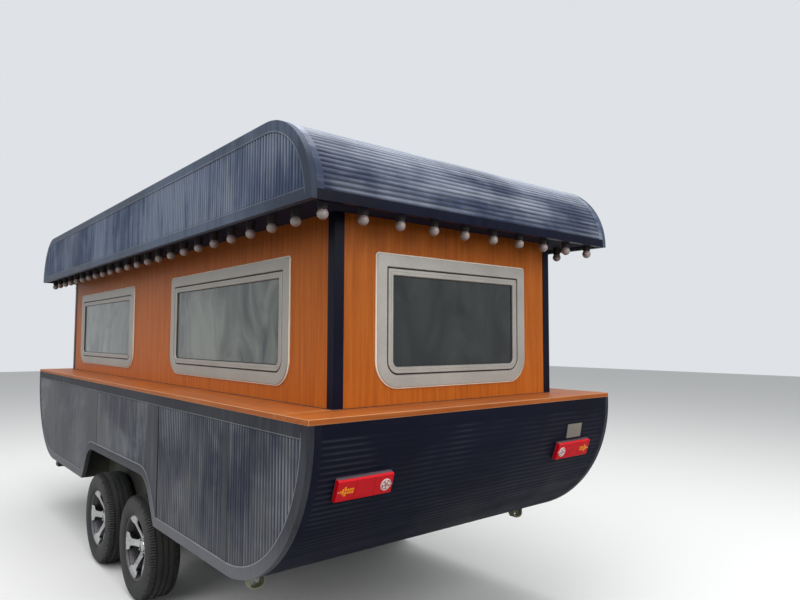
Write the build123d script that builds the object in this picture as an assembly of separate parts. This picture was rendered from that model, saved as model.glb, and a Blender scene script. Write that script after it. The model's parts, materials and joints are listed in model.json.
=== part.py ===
# Food trailer: a ribbed hull with upswept ends, a glazed cabin set in from a counter that runs all
# round, and a deep ribbed roof with rounded ends. It stands on its tandem wheels and drawbar jack.
# +X points forward to the coupler, +Y to the left, +Z up. The origin is on the ground, midway
# along the whole length. Sizes are millimetres.
import os
from math import asin, atan2, cos, degrees, pi, sin, sqrt

from build123d import *

# Hull, counter and roof
hull_length = 5170
hull_width = 2100
hull_bottom = 525
hull_radius = 740
hull_straight = 30
counter_thick = 25
cabin_height = 880
roof_radius = 400
eave_straight = 10
shell_thick = 30
skin_recess = 8
hull_border = 58
roof_border = 52
top_strip = 55
fascia_strip = 45

# Ribs of the metal sheet, of which each rib drawn here stands for four
sheet_pitch = 26.2
rib_pitch = 4 * sheet_pitch
rib_base = 3
rib_rise = 3.5

# Cabin
side_inset = 272
rear_inset = 232
front_inset = 172
wall_thick = 35
post_leg = 50
post_thick = 4
ceiling_thick = 20
socket_height = 35
bulb_diameter = 50
bulb_sides = 5
socket_diameter = 46
bulb_inset = 100
end_bulb_inset = 70
bulb_drop = 17

# Floor and chassis
floor_thick = 40
rail_height = 80
rail_width = 50
rail_spread = 1120
rail_setback = 60
cross_width = 40
cross_height = 60
outrigger_place = 330
steady_inset = 110
steady_reach = 130
steady_leg = 300
steady_width = 60

# Drawbar, coupler and jack
tow_reach = 1180
drawbar_width = 50
nose_spread = 110
nose_back = 150
jack_behind_nose = 420
jack_plate = 150
ball_diameter = 50
ball_clearance = 0.5
head_radius = 50
jack_tube = 60
jack_inner = 48
jack_height = 820
jack_foot = 140
foot_thick = 8

# Wheels and axles
tyre_diameter = 640
tyre_width = 195
rim_diameter = 403
wheel_spacing = 850
axle_behind = 110
tyre_proud = 10
tyre_gap = 20
stub_diameter = 40
stub_sides = 12
stub_clearance = 0.3
axle_beam = 50
drum_diameter = 230
drum_depth = 60
well_thick = 12
wheel_facets = 20
shoulder = 27

# Wheel arch
arch_top = 785
arch_length = 1675
arch_crown = 1340
arch_corner = 200
arch_ahead = 87

# Windows and door
window_above_counter = 83
window_below_eave = 153
long_window = 1615
rear_window = 1080
window_from_rear = 395.5
window_from_front = 308.5
window_corner = 130
corner_steps = 3
frame_face = 60
frame_proud = 12
frame_liner = 20
seam = 7.5
sash_face = 32
sash_depth = 28
glass_thick = 5
glass_rebate = 6
pin_sides = 8
pin_diameter = 6
pin_clearance = 0.25
pin_depth = 12
pin_edge = 5
door_width = 700
door_ahead_of_arch = 270.5
door_below_eave = 150
door_seam = 9
door_stile = 80
door_top_rail = 110
handle_above_floor = 600
handle_length = 200
handle_width = 24
handle_stand = 26
handle_grip = 14
handle_from_edge = 70
door_pin_diameter = 10
door_pin_edge = 8
step_thick = 20
reveal_thick = 15

# Rear fittings
lamp_length = 320
lamp_height = 95
lamp_depth = 28
lamp_from_side = 150
lamp_level = 1022
plate_length = 131
plate_height = 79
plate_thick = 3
plate_from_side = 270
plate_level = 1123

# Places worked out from the sizes
overall = hull_length + tow_reach
rear_x = -overall / 2
front_x = rear_x + hull_length
nose_x = front_x + tow_reach
middle_x = (rear_x + front_x) / 2
side_y = hull_width / 2
deck = hull_bottom + hull_radius + hull_straight
counter_top = deck + counter_thick
eave = counter_top + cabin_height
roof_top = eave + eave_straight + roof_radius
window_sill = counter_top + window_above_counter
window_head = eave - window_below_eave
door_head = eave - door_below_eave
shell_y = side_y - shell_thick
floor_top = hull_bottom + floor_thick
wall_y = side_y - side_inset
wall_rear_x = rear_x + rear_inset
wall_front_x = front_x - front_inset
ceiling = eave - bulb_drop + socket_height
axle_x = middle_x - axle_behind
wheel_radius = tyre_diameter / 2
wheel_y = side_y + tyre_proud - tyre_width / 2
well_y = side_y + tyre_proud - tyre_width - tyre_gap
rail_y = rail_spread / 2
rail_bottom = hull_bottom - rail_height
step_top = floor_top + step_thick
arch_x = axle_x + arch_ahead
door_rear_x = arch_x + arch_length / 2 + door_ahead_of_arch
door_front_x = door_rear_x + door_width
rear_window_x = wall_rear_x + window_from_rear + long_window / 2
front_window_x = wall_front_x - window_from_front - long_window / 2


def box(x0, x1, y0, y1, z0, z1):
    """A box between two opposite corners."""
    size = (x1 - x0, y1 - y0, z1 - z0)
    return Pos((x0 + x1) / 2, (y0 + y1) / 2, (z0 + z1) / 2) * Box(*size)


def across(face, y0, y1):
    """A face drawn in X and Z, made solid between two Y planes."""
    return extrude(Plane((0, y1, 0), x_dir=(1, 0, 0), z_dir=(0, -1, 0)) * face, y1 - y0)


def pin(radius, length, sides=pin_sides):
    """A pin about Z, with its corners at the radius."""
    return extrude(RegularPolygon(radius, sides), length / 2, both=True)


def bore(radius, length, sides=pin_sides):
    """The hole for a pin, with its flats at the radius."""
    return pin(radius / cos(pi / sides), length, sides)


def right_of(solid):
    """The same piece on the other side of the trailer."""
    return mirror(solid, about=Plane.XZ)


def front_of(solid):
    """The same piece at the other end of the hull."""
    return mirror(solid, about=Plane((middle_x, 0, 0), z_dir=(1, 0, 0)))


def tub(flat_z, open_z, radius):
    """The outline of the hull or roof side, rounded where its ends meet the flat edge."""
    points = [(rear_x, open_z), (front_x, open_z), (front_x, flat_z), (rear_x, flat_z)]
    face = make_face(Polyline(*points, close=True))
    corners = face.vertices().filter_by_position(Axis.Y, flat_z - 1, flat_z + 1)
    return fillet(corners, radius)


def wheel_arch():
    """The opening over both wheels, with sloping ends and rounded upper corners."""
    centre = arch_x
    slope = (arch_length - arch_crown) / 2 / (arch_top - hull_bottom)
    below = 20
    low = arch_length / 2 + slope * below
    high = arch_crown / 2
    points = [(centre - low, hull_bottom - below), (centre + low, hull_bottom - below),
              (centre + high, arch_top), (centre - high, arch_top)]
    face = make_face(Polyline(*points, close=True))
    corners = face.vertices().filter_by_position(Axis.Y, arch_top - 1, arch_top + 1)
    return fillet(corners, arch_corner)


def bordered(face, border):
    """The outline of the sheet that lies inside a border of the given width."""
    return offset(face, amount=-border, kind=Kind.INTERSECTION)


def side_shell(face, inner):
    """A left side panel with a raised border all round."""
    return across(face, shell_y, side_y) - across(inner, side_y - skin_recess, side_y + 1)


def ribbed_sheet(inner, low, high):
    """The upright ribs of a left side, cut to the outline that they fill."""
    base = side_y - skin_recess
    count = round(hull_length / rib_pitch)
    step = hull_length / count
    points = [(rear_x, base)]
    for index in range(count):
        points.append((rear_x + index * step, base + rib_base))
        points.append((rear_x + (index + 0.5) * step, base + rib_base + rib_rise))
    points += [(front_x, base + rib_base), (front_x, base)]
    ribs = extrude(Pos(0, 0, low) * make_face(Polyline(*points, close=True)), high - low)
    return ribs & across(inner, base, side_y)


def rib_points(centre, radius, start, end):
    """Rib roots and crests along an arc, by angle from the rearward level."""
    count = round(radius * abs(end - start) / rib_pitch)
    step = (end - start) / count
    root = radius - rib_rise - 1
    points = []
    for index in range(count):
        for place, size in ((index, root), (index + 0.5, radius - 1)):
            angle = start + place * step
            points.append((centre[0] - size * cos(angle), centre[1] + size * sin(angle)))
    points.append((centre[0] - root * cos(end), centre[1] + root * sin(end)))
    return points


def hull_end():
    """The upswept rear end, ribbed across the trailer below its smooth top strip."""
    centre = (rear_x + hull_radius, hull_bottom + hull_radius)
    start = -asin((centre[1] - deck + top_strip) / hull_radius)
    ribs = rib_points(centre, hull_radius, start, -pi / 2)
    inner = hull_radius - shell_thick
    outside = Polyline((rear_x + 1, deck), (rear_x + 1, centre[1]), *ribs,
                       (centre[0], centre[1] - inner))
    arc = ThreePointArc((centre[0], centre[1] - inner),
                        (centre[0] - inner * sin(pi / 4), centre[1] - inner * sin(pi / 4)),
                        (centre[0] - inner, centre[1]))
    close = Polyline((centre[0] - inner, centre[1]), (centre[0] - inner, deck), (rear_x + 1, deck))
    return across(make_face([outside, arc, close]), -shell_y, shell_y)


def roof_shell():
    """The roof sheet, ribbed across the trailer from one fascia over the top to the other."""
    rear = (rear_x + roof_radius, roof_top - roof_radius)
    front = (front_x - roof_radius, rear[1])
    start = asin((eave + fascia_strip - rear[1]) / roof_radius)
    rear_ribs = rib_points(rear, roof_radius, start, pi / 2)
    flat = front[0] - rear[0]
    count = round(flat / rib_pitch)
    top = []
    for index in range(count):
        top.append((rear[0] + (index + 0.5) * flat / count, roof_top - 1))
        top.append((rear[0] + (index + 1) * flat / count, roof_top - 1 - rib_rise))
    front_ribs = [(2 * middle_x - x, z) for x, z in reversed(rear_ribs)]
    inner = roof_radius - shell_thick
    outside = Polyline((rear_x + 1, eave), (rear_x + 1, rear[1]), *rear_ribs, *top,
                       *front_ribs[1:], (front_x - 1, rear[1]), (front_x - 1, eave),
                       (front_x - shell_thick, eave), (front_x - shell_thick, front[1]))
    slant = inner * sin(pi / 4)
    front_arc = ThreePointArc((front[0] + inner, front[1]), (front[0] + slant, front[1] + slant),
                              (front[0], front[1] + inner))
    under = Line((front[0], front[1] + inner), (rear[0], rear[1] + inner))
    rear_arc = ThreePointArc((rear[0], rear[1] + inner), (rear[0] - slant, rear[1] + slant),
                             (rear[0] - inner, rear[1]))
    close = Polyline((rear[0] - inner, rear[1]), (rear_x + shell_thick, eave), (rear_x + 1, eave))
    return across(make_face([outside, front_arc, under, rear_arc, close]), -shell_y, shell_y)


def doorway(y0, y1, z0, z1):
    """The space that the door opening takes out of the right side."""
    return box(door_rear_x - door_seam, door_front_x + door_seam, y0, y1, z0, z1)


def pane_outline(x0, x1, low, high, radius):
    """An outline square above and rounded below, each round corner in a few straight steps."""
    points = [(x1, high), (x0, high)]
    for centre, turn in ((x0 + radius, pi), (x1 - radius, 1.5 * pi)):
        for step in range(corner_steps + 1):
            angle = turn + step * pi / 2 / corner_steps
            points.append((centre + radius * cos(angle), low + radius + radius * sin(angle)))
    return make_face(Polyline(*points, close=True))


def window_outline(width, inset):
    """A window's outline, drawn inward by an inset."""
    half = width / 2 - inset
    return pane_outline(-half, half, window_sill + inset, window_head - inset,
                        window_corner - inset)


# Windows: name, the wall's side, place of the middle along the wall, width
windows = [
    ("left_rear", "left", rear_window_x, long_window),
    ("left_front", "left", front_window_x, long_window),
    ("rear", "rear", 0, rear_window),
    ("right_rear", "right", rear_window_x, long_window),
]


def window_plane(side, middle):
    """Local X along the wall, local Y up, local Z out of the wall at its outer face."""
    if side == "left":
        return Plane((middle, wall_y, 0), x_dir=(-1, 0, 0), z_dir=(0, 1, 0))
    if side == "right":
        return Plane((middle, -wall_y, 0), x_dir=(1, 0, 0), z_dir=(0, -1, 0))
    return Plane((wall_rear_x, middle, 0), x_dir=(0, -1, 0), z_dir=(-1, 0, 0))


def slab(plane, face, low, high):
    """A face drawn on a wall, made solid between two depths out of the wall."""
    return plane * Pos(0, 0, low) * extrude(face, high - low)


def window_hole(plane, width):
    return slab(plane, window_outline(width, frame_face - frame_liner), -wall_thick - 1, 1)


def hinge_pins(plane, width, start, length, rod):
    """A rod in each place of the stub pins, from beside the window towards its middle."""
    level = window_head - frame_face - seam - pin_edge
    depth = frame_proud - 2 - pin_edge
    pins = []
    for way in (-1, 1):
        middle = way * (width / 2 - start - length / 2)
        pins.append(plane * Pos(middle, level, depth) * Rot(0, 90, 0) * rod)
    return pins


def window_frame(plane, width):
    """The fixed frame: a flange on the wall, a liner through it and two stub hinge pins."""
    inner = window_outline(width, frame_face)
    flange = slab(plane, window_outline(width, 0) - inner, 0, frame_proud)
    liner = slab(plane, window_outline(width, frame_face - frame_liner) - inner, -wall_thick, 0)
    frame = flange + liner
    length = seam + pin_depth + 4
    for stub in hinge_pins(plane, width, frame_face - 4, length, pin(pin_diameter / 2, length)):
        frame = frame + stub
    return frame


def sash(plane, width):
    """The top-hung sash ring, bored for the stub pins."""
    outer = frame_face + seam
    ring = window_outline(width, outer) - window_outline(width, outer + sash_face)
    high = frame_proud - 2
    solid = slab(plane, ring, high - sash_depth, high)
    groove = window_outline(width, outer + sash_face - glass_rebate)
    middle = high - sash_depth / 2
    solid = solid - slab(plane, groove, middle - glass_thick / 2, middle + glass_thick / 2)
    length = pin_depth + 3
    hole = bore(pin_diameter / 2 + pin_clearance, length)
    for place in hinge_pins(plane, width, outer - 1, length, hole):
        solid = solid - place
    return solid


def sash_glass(plane, width):
    """The pane, held in the groove of the sash."""
    face = window_outline(width, frame_face + seam + sash_face - glass_rebate)
    middle = frame_proud - 2 - sash_depth / 2
    return slab(plane, face, middle - glass_thick / 2, middle + glass_thick / 2)


def walls():
    """Four wall panels on the counter, with windows and doorway cut."""
    left = box(wall_rear_x, wall_front_x, wall_y - wall_thick, wall_y, counter_top, ceiling)
    right = right_of(left) - doorway(-wall_y - 1, -wall_y + wall_thick + 1, 0,
                                     door_head + door_seam)
    inner_y = wall_y - wall_thick
    rear = box(wall_rear_x, wall_rear_x + wall_thick, -inner_y, inner_y, counter_top, ceiling)
    front = box(wall_front_x - wall_thick, wall_front_x, -inner_y, inner_y, counter_top, ceiling)
    panels = {"left": left, "right": right, "rear": rear, "front": front}
    for name, side, middle, width in windows:
        panels[side] = panels[side] - window_hole(window_plane(side, middle), width)
    return {f"wall_{side}": panel for side, panel in panels.items()}


def corner_posts():
    """Four angle posts wrapped round the outer corners of the cabin."""
    posts = []
    for x, along in ((wall_rear_x, 1), (wall_front_x, -1)):
        for way in (1, -1):
            x0, x1 = sorted((x - along * post_thick, x + along * post_leg))
            outer, inner = way * (wall_y + post_thick), way * (wall_y - post_leg)
            solid = box(x0, x1, min(outer, inner), max(outer, inner), counter_top, ceiling)
            x2, x3 = sorted((x, x + along * (post_leg + 1)))
            inside = sorted((way * wall_y, way * (wall_y - post_leg - 1)))
            posts.append(solid - box(x2, x3, *inside, counter_top - 1, ceiling + 1))
    return posts


def counters():
    """Boards flush with the hull: full width at the ends, butted between them at the sides."""
    rear_edge = wall_rear_x + wall_thick
    front_edge = wall_front_x - wall_thick
    inner_y = wall_y - wall_thick
    rear = box(rear_x, rear_edge, -side_y, side_y, deck, counter_top)
    front = box(front_edge, front_x, -side_y, side_y, deck, counter_top)
    left = box(rear_edge, front_edge, inner_y, side_y, deck, counter_top)
    right = right_of(left) - doorway(-side_y - 1, 0, 0, counter_top + 1)
    return {"counter_rear": rear, "counter_front": front, "counter_left": left,
            "counter_right": right}


def hull_panels():
    """Two side panels with raised borders, their ribbed sheets and the two upswept ends."""
    plain = tub(hull_bottom, deck, hull_radius)
    left_face = plain - wheel_arch()
    opening = door_width + 2 * door_seam
    door_x = (door_rear_x + door_front_x) / 2
    right_face = left_face - Pos(door_x, (step_top + deck + 1) / 2) * (
        Rectangle(opening, deck + 1 - step_top))
    left_inner = bordered(left_face, hull_border)
    right_inner = left_inner - Pos(door_x, deck / 2) * Rectangle(opening + 2 * hull_border, deck)
    return {
        "hull_side_left": side_shell(left_face, left_inner),
        "hull_side_right": right_of(side_shell(right_face, right_inner)),
        "hull_skin_left": ribbed_sheet(left_inner, hull_bottom, deck),
        "hull_skin_right": right_of(ribbed_sheet(right_inner, hull_bottom, deck)),
        "hull_end_rear": hull_end(),
        "hull_end_front": front_of(hull_end()),
    }


def roof():
    """The roof sheet, its side panels with their ribbed sheets, and the ceiling that carries them."""
    face = tub(roof_top, eave, roof_radius)
    inner = bordered(face, roof_border)
    side = side_shell(face, inner)
    skin = ribbed_sheet(inner, eave, roof_top)
    edge = roof_radius - shell_thick
    rise = ceiling + ceiling_thick - (roof_top - roof_radius)
    inward = roof_radius - sqrt(edge ** 2 - rise ** 2) + 0.3
    ceiling_panel = box(rear_x + inward, front_x - inward, -shell_y, shell_y,
                        ceiling, ceiling + ceiling_thick)
    return {"roof_shell": roof_shell(), "roof_side_left": side, "roof_side_right": right_of(side),
            "roof_skins": [skin, right_of(skin)], "ceiling": ceiling_panel}


def bulb_places():
    """Middles of the bulbs in the ring under the eaves."""
    x0, x1 = rear_x + end_bulb_inset, front_x - end_bulb_inset
    y0 = side_y - bulb_inset
    along, over = 23, 9
    places = [(x0 + (x1 - x0) * index / along, way * y0) for index in range(along + 1)
              for way in (1, -1)]
    places += [(x, y0 - 2 * y0 * index / over) for index in range(1, over) for x in (x0, x1)]
    return places


def bulb_ring():
    """Sockets under the ceiling, each with its bulb, as many-sided drums."""
    bulb_top = ceiling - socket_height
    socket = extrude(RegularPolygon(socket_diameter / 2, bulb_sides), socket_height)
    bulb = extrude(RegularPolygon(bulb_diameter / 2, bulb_sides), -bulb_diameter)
    bulb = chamfer(bulb.edges().group_by(Axis.Z)[0], bulb_diameter * 0.26)
    sockets = [Pos(x, y, bulb_top) * socket for x, y in bulb_places()]
    bulbs = [Pos(x, y, bulb_top) * bulb for x, y in bulb_places()]
    return {"bulb_sockets": sockets, "bulbs": bulbs}


def door_pane(x, inset):
    """The outline of the door's window, drawn inward by an inset."""
    half = door_width / 2 - door_stile - inset
    return pane_outline(x - half, x + half, window_sill + inset,
                        door_head - door_top_rail - inset, window_corner - inset)


def door():
    """The entry door in its well: reveals, step, pivot pins, leaf and fixed pane."""
    rear_face, front_face = door_rear_x - door_seam, door_front_x + door_seam
    inner_y = wall_y - wall_thick
    reveals = box(rear_face - reveal_thick, rear_face, -shell_y, -inner_y, floor_top, deck)
    reveals = reveals + box(front_face, front_face + reveal_thick, -shell_y, -inner_y,
                            floor_top, deck)
    step = box(rear_face, front_face, -shell_y, -inner_y, floor_top, step_top)
    well = reveals + step
    pivot = (door_front_x - door_pin_edge, -wall_y + door_pin_edge)
    radius = door_pin_diameter / 2
    length = door_seam + pin_depth
    well = well + Pos(*pivot, step_top + length / 2) * pin(radius, length)
    length += 4
    head_pin = Pos(*pivot, door_head - pin_depth + length / 2) * pin(radius, length)
    leaf = box(door_rear_x, door_front_x, -wall_y, -inner_y, step_top + door_seam, door_head)
    for level in (step_top + door_seam, door_head):
        leaf = leaf - Pos(*pivot, level) * bore(radius + pin_clearance, 2 * pin_depth + 2)
    door_x = (door_rear_x + door_front_x) / 2
    mid_y = -(wall_y + inner_y) / 2
    glass = across(door_pane(door_x, 0), mid_y - glass_thick / 2, mid_y + glass_thick / 2)
    leaf = leaf - across(door_pane(door_x, glass_rebate), -wall_y - 1, -inner_y + 1) - glass
    level = step_top + handle_above_floor
    x = door_rear_x + handle_from_edge
    foot = handle_width * 0.8
    handle = box(x - handle_width / 2, x + handle_width / 2, -wall_y - handle_stand - handle_grip,
                 -wall_y - handle_stand, level - handle_length / 2, level + handle_length / 2)
    for way in (-1, 1):
        z = level + way * (handle_length / 2 - handle_width)
        handle = handle + box(x - foot / 2, x + foot / 2, -wall_y - handle_stand, -wall_y,
                              z - foot / 2, z + foot / 2)
    return {"door_well": well, "door_leaf": leaf, "door_glass": glass, "door_handle": handle,
            "head_pin": head_pin}


def floor_panel():
    """The floor between the upswept ends, notched for the wheel wells."""
    solid = box(rear_x + hull_radius, front_x - hull_radius, -shell_y, shell_y,
                hull_bottom, floor_top)
    half = arch_length / 2 + well_thick
    centre = arch_x
    for way in (1, -1):
        y0, y1 = sorted((way * (well_y - well_thick), way * (shell_y + 1)))
        solid = solid - box(centre - half, centre + half, y0, y1, hull_bottom - 1, floor_top + 1)
    return solid


def wheel_wells():
    """Boxes over the wheels, open below and to the outside."""
    half = arch_length / 2
    centre = arch_x
    outer = box(centre - half - well_thick, centre + half + well_thick, well_y - well_thick,
                shell_y, hull_bottom, arch_top + 2 * well_thick)
    inner = box(centre - half, centre + half, well_y, shell_y + 1, hull_bottom - 1,
                arch_top + well_thick)
    well = outer - inner
    return [well, right_of(well)]


def chassis():
    """Two long rails, and the cross members between and outside them, under the floor."""
    start, end = rear_x + hull_radius + rail_setback, front_x - hull_radius * 0.75
    inner, outer = rail_y - rail_width / 2, rail_y + rail_width / 2
    rail = box(start, end, inner, outer, rail_bottom, hull_bottom)
    low = hull_bottom - cross_height
    count = 7
    members = []
    for index in range(count):
        x = start + cross_width / 2 + (end - start - cross_width) * index / (count - 1)
        members.append(box(x - cross_width / 2, x + cross_width / 2, -inner, inner,
                           low, hull_bottom))
    for x in (rear_x + hull_radius + outrigger_place, front_x - hull_radius - outrigger_place):
        x0, x1 = x - cross_width / 2, x + cross_width / 2
        arm = box(x0, x1, outer, shell_y - 10, low, hull_bottom)
        members += [arm, right_of(arm)]
    return {"chassis_rails": [rail, right_of(rail)], "cross_members": members}


def drawbar():
    """Two members that meet at the nose, with a nose block and a jack plate between them."""
    start = (front_x - hull_radius * 0.75, rail_y)
    end = (nose_x - nose_back, nose_spread / 2)
    angle = atan2(start[1] - end[1], end[0] - start[0])
    length = sqrt((end[0] - start[0]) ** 2 + (start[1] - end[1]) ** 2)
    middle = ((start[0] + end[0]) / 2, (start[1] + end[1]) / 2)
    bar = Pos(*middle, hull_bottom - rail_height / 2) * Rot(0, 0, -degrees(angle)) * (
        Box(length, drawbar_width, rail_height))
    bar = bar - box(rear_x, start[0], 0, side_y, 0, eave)
    wide = nose_spread / 2 + drawbar_width
    bars = [bar, right_of(bar)]
    nose = box(end[0] - 90, end[0] + 10, -wide, wide, rail_bottom, hull_bottom)
    plate_x = end[0] - jack_behind_nose
    half = jack_plate / 2
    spread = nose_spread / 2 + (jack_behind_nose + half) * sin(angle) / cos(angle)
    plate = box(plate_x - half, plate_x + half, -spread, spread, hull_bottom - 10, hull_bottom)
    plate = plate - Pos(plate_x, 0, rail_bottom) * facet_disc(jack_tube / 2 + 0.3, 0, 200, 16)
    for piece in bars:
        nose = nose - piece
        plate = plate - piece
    inside = [max(item.solids(), key=lambda solid: -abs(solid.center().Y)) for item in (nose, plate)]
    return {"drawbar_members": bars, "drawbar_plates": inside}, plate_x


def coupler():
    """The ball coupler: a shank on the nose and a head with its socket open below."""
    head_x = nose_x - head_radius
    shank = box(nose_x - nose_back - 140, head_x, -32, 32, hull_bottom, hull_bottom + 45)
    head = Pos(head_x, 0, hull_bottom - 55) * facet_disc(head_radius, 0, 100, 16)
    nose = Pos(head_x, 0, hull_bottom + 35) * facet_disc(36, 0, 20, 16)
    lever = box(nose_x - 250, nose_x - 90, -12, 12, hull_bottom + 60, hull_bottom + 76)
    lever = lever + box(nose_x - 140, nose_x - 100, -12, 12, hull_bottom + 40, hull_bottom + 62)
    body = shank + head + nose + lever
    radius = ball_diameter / 2 + ball_clearance
    mouth = hull_bottom - 55
    return body - Pos(head_x, 0, mouth + 17) * Cylinder(radius, 36)


def jack(x):
    """The drop-leg jack: outer tube through its plate, inner leg, foot plate, and a top crank."""
    low = hull_bottom - 150
    tube = Pos(x, 0, low) * facet_disc(jack_tube / 2, 0, jack_height - low, 16)
    collar = Pos(x, 0, hull_bottom) * facet_disc(jack_tube / 2 + 14, 0, 10, 16)
    cap = Pos(x, 0, jack_height) * facet_disc(jack_tube / 2 + 6, 0, 24, 16)
    crank = box(x - 9, x + 9, -9, 9, jack_height + 22, jack_height + 46)
    arm = box(x - 10, x + 150, -8, 8, jack_height + 40, jack_height + 54)
    knob = Pos(x + 140, 0, jack_height + 50) * facet_disc(13, 0, 60, 8)
    leg = Pos(x, 0, foot_thick) * facet_disc(jack_inner / 2, 0, low - foot_thick + 20, 16)
    foot = Pos(x, 0, foot_thick / 2) * Box(jack_foot, jack_foot, foot_thick)
    return tube + collar + cap + crank + arm + knob + leg + foot


def facet_disc(radius, z0, z1, sides=wheel_facets):
    """A many-sided disc about Z whose flats touch a circle, with one flat facing down."""
    turn = 180 / sides - 90
    face = Pos(0, 0, z0) * Rot(0, 0, turn) * RegularPolygon(radius / cos(pi / sides), sides)
    return extrude(face, z1 - z0)


def tyre_solid():
    """A tyre about its axle, with bevelled shoulders."""
    half = tyre_width / 2
    solid = facet_disc(wheel_radius, -half, half)
    ends = solid.edges().group_by(Axis.Z)
    solid = chamfer(ends[0] + ends[-1], shoulder)
    return Rot(90, 0, 0) * (solid - facet_disc(rim_diameter / 2, -half - 1, half + 1))


def rim_solid():
    """A five-spoke rim: barrel, dished spokes with wide ends, and a hub bored for the stub."""
    half = tyre_width / 2
    bead = rim_diameter / 2 - 0.3
    seat, lip = half * 0.72, half * 0.88
    solid = facet_disc(bead, -seat, lip) - facet_disc(bead - 14, -seat - 1, lip + 1)
    hub_face, hub_back = half * 0.55, half * 0.12
    solid = solid + facet_disc(62, hub_back, hub_face, 10)
    slope = make_face(Polyline((50, hub_back + 4), (bead - 12, half * 0.35),
                               (bead - 12, half * 0.82), (50, hub_face - 3), close=True))
    end = make_face(Polyline((bead - 52, half * 0.5), (bead - 12, half * 0.5),
                             (bead - 12, half * 0.83), (bead - 52, half * 0.78), close=True))
    for index in range(5):
        spoke = extrude(Plane.XZ * slope, 24, both=True) + extrude(Plane.XZ * end, 50, both=True)
        solid = solid + Rot(0, 0, 72 * index + 36) * spoke
    hole = bore(stub_diameter / 2 + stub_clearance, 2 * (hub_face - 10), stub_sides)
    return Rot(90, 0, 0) * (solid - hole)


def wheel(piece, side, x):
    """A tyre or rim put on its stub, with its dished face outward."""
    turned = Rot(0, 0, 180) * piece if side > 0 else piece
    return Pos(x, side * wheel_y, wheel_radius) * turned


def axle(x):
    """A square beam between two brake drums, with a stub for each wheel."""
    half = tyre_width / 2
    beam = box(x - axle_beam / 2, x + axle_beam / 2, -well_y + 30, well_y - 30,
               wheel_radius - axle_beam / 2, wheel_radius + axle_beam / 2)
    drum_face = wheel_y + half * 0.12 - 6
    drum = Pos(x, drum_face, wheel_radius) * Rot(90, 0, 0) * (
        facet_disc(drum_diameter / 2, 0, drum_depth, 16))
    tip = wheel_y + half * 0.55 - 10 - 2
    start = well_y - 60
    stub = Pos(x, (start + tip) / 2, wheel_radius) * Rot(90, 0, 0) * (
        pin(stub_diameter / 2, tip - start, stub_sides))
    end = drum + stub
    return beam + end + right_of(end)


def springs():
    """Leaf springs over the axles, their hangers under the rails and the rockers between them."""
    eye_z = rail_bottom - 45
    seat_z = wheel_radius + axle_beam / 2
    reach = 310
    leaf = 16
    pieces = []
    for x in (axle_x - wheel_spacing / 2, axle_x + wheel_spacing / 2):
        sag = eye_z - leaf - seat_z
        low = [(x + reach * step / 3, seat_z + sag * (step / 3) ** 2) for step in range(-3, 4)]
        top = [(px, pz + leaf) for px, pz in reversed(low)]
        pieces.append(across(make_face(Polyline(*low, *top, close=True)), rail_y - 22, rail_y + 22))
    far = wheel_spacing / 2 + reach
    for x in (axle_x - far, axle_x, axle_x + far):
        pieces.append(box(x - 22, x + 22, rail_y - 25, rail_y + 25, eye_z - 26, rail_bottom))
    gap = wheel_spacing / 2 - reach
    pieces.append(box(axle_x - gap - 5, axle_x + gap + 5, rail_y - 12, rail_y + 12, eye_z - 20,
                      eye_z + 4))
    solid = pieces[0]
    for piece in pieces[1:]:
        solid = solid + piece
    return [solid, right_of(solid)]


def steadies():
    """Corner steadies folded up under the floor, each a channel leg with an open U foot."""
    x, y = rear_x + hull_radius - steady_reach, side_y - steady_inset
    half = steady_width / 2
    low = hull_bottom - 45
    pivot = x + steady_reach + 30
    mount = box(pivot, x + steady_leg, y - half, y + half, hull_bottom - 12, hull_bottom)
    leg = box(x + 20, x + steady_leg - 20, y - half + 12, y + half - 12, low + 8, hull_bottom - 12)
    foot = box(x, x + 34, y - half, y + half, low, hull_bottom - 4)
    foot = foot - box(x - 1, x + 26, y - half + 6, y + half - 6, low + 6, hull_bottom)
    rear = mount + leg + foot
    return [rear, right_of(rear), front_of(rear), right_of(front_of(rear))]


def on_hull_end(level):
    """A plane on the ribbed rear end at a height, Z outward, X to the right as seen from behind."""
    drop = hull_bottom + hull_radius - level
    angle = asin(drop / hull_radius)
    radius = hull_radius - 1
    x = rear_x + hull_radius - radius * cos(angle)
    z = hull_bottom + hull_radius - radius * sin(angle)
    return Plane((x, 0, z), x_dir=(0, -1, 0), z_dir=(-cos(angle), 0, -sin(angle)))


def rear_fittings():
    """Tail lamp housings with their lenses, and a bare plate."""
    plane = on_hull_end(lamp_level)
    housings, lenses = [], []
    for way in (-1, 1):
        middle = way * (side_y - lamp_from_side - lamp_length / 2)
        housings.append(plane * Pos(middle, 0, lamp_depth / 4) * Box(lamp_length, lamp_height,
                                                                      lamp_depth / 2))
        # Lenses: place from the lamp's outer end, length
        for start, length in ((6, 96), (106, 118), (228, 86)):
            place = middle + way * (lamp_length / 2 - start - length / 2)
            lenses.append(plane * Pos(place, 0, lamp_depth * 0.75) * (
                Box(length, lamp_height - 12, lamp_depth / 2)))
    board = on_hull_end(plate_level) * Pos(side_y - plate_from_side - plate_length / 2, 0,
                                           plate_thick / 2 + 1) * (
        Box(plate_length, plate_height, plate_thick + 2))
    return {"lamp_housings": housings, "lamp_lenses": lenses, "number_plate": board}


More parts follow.
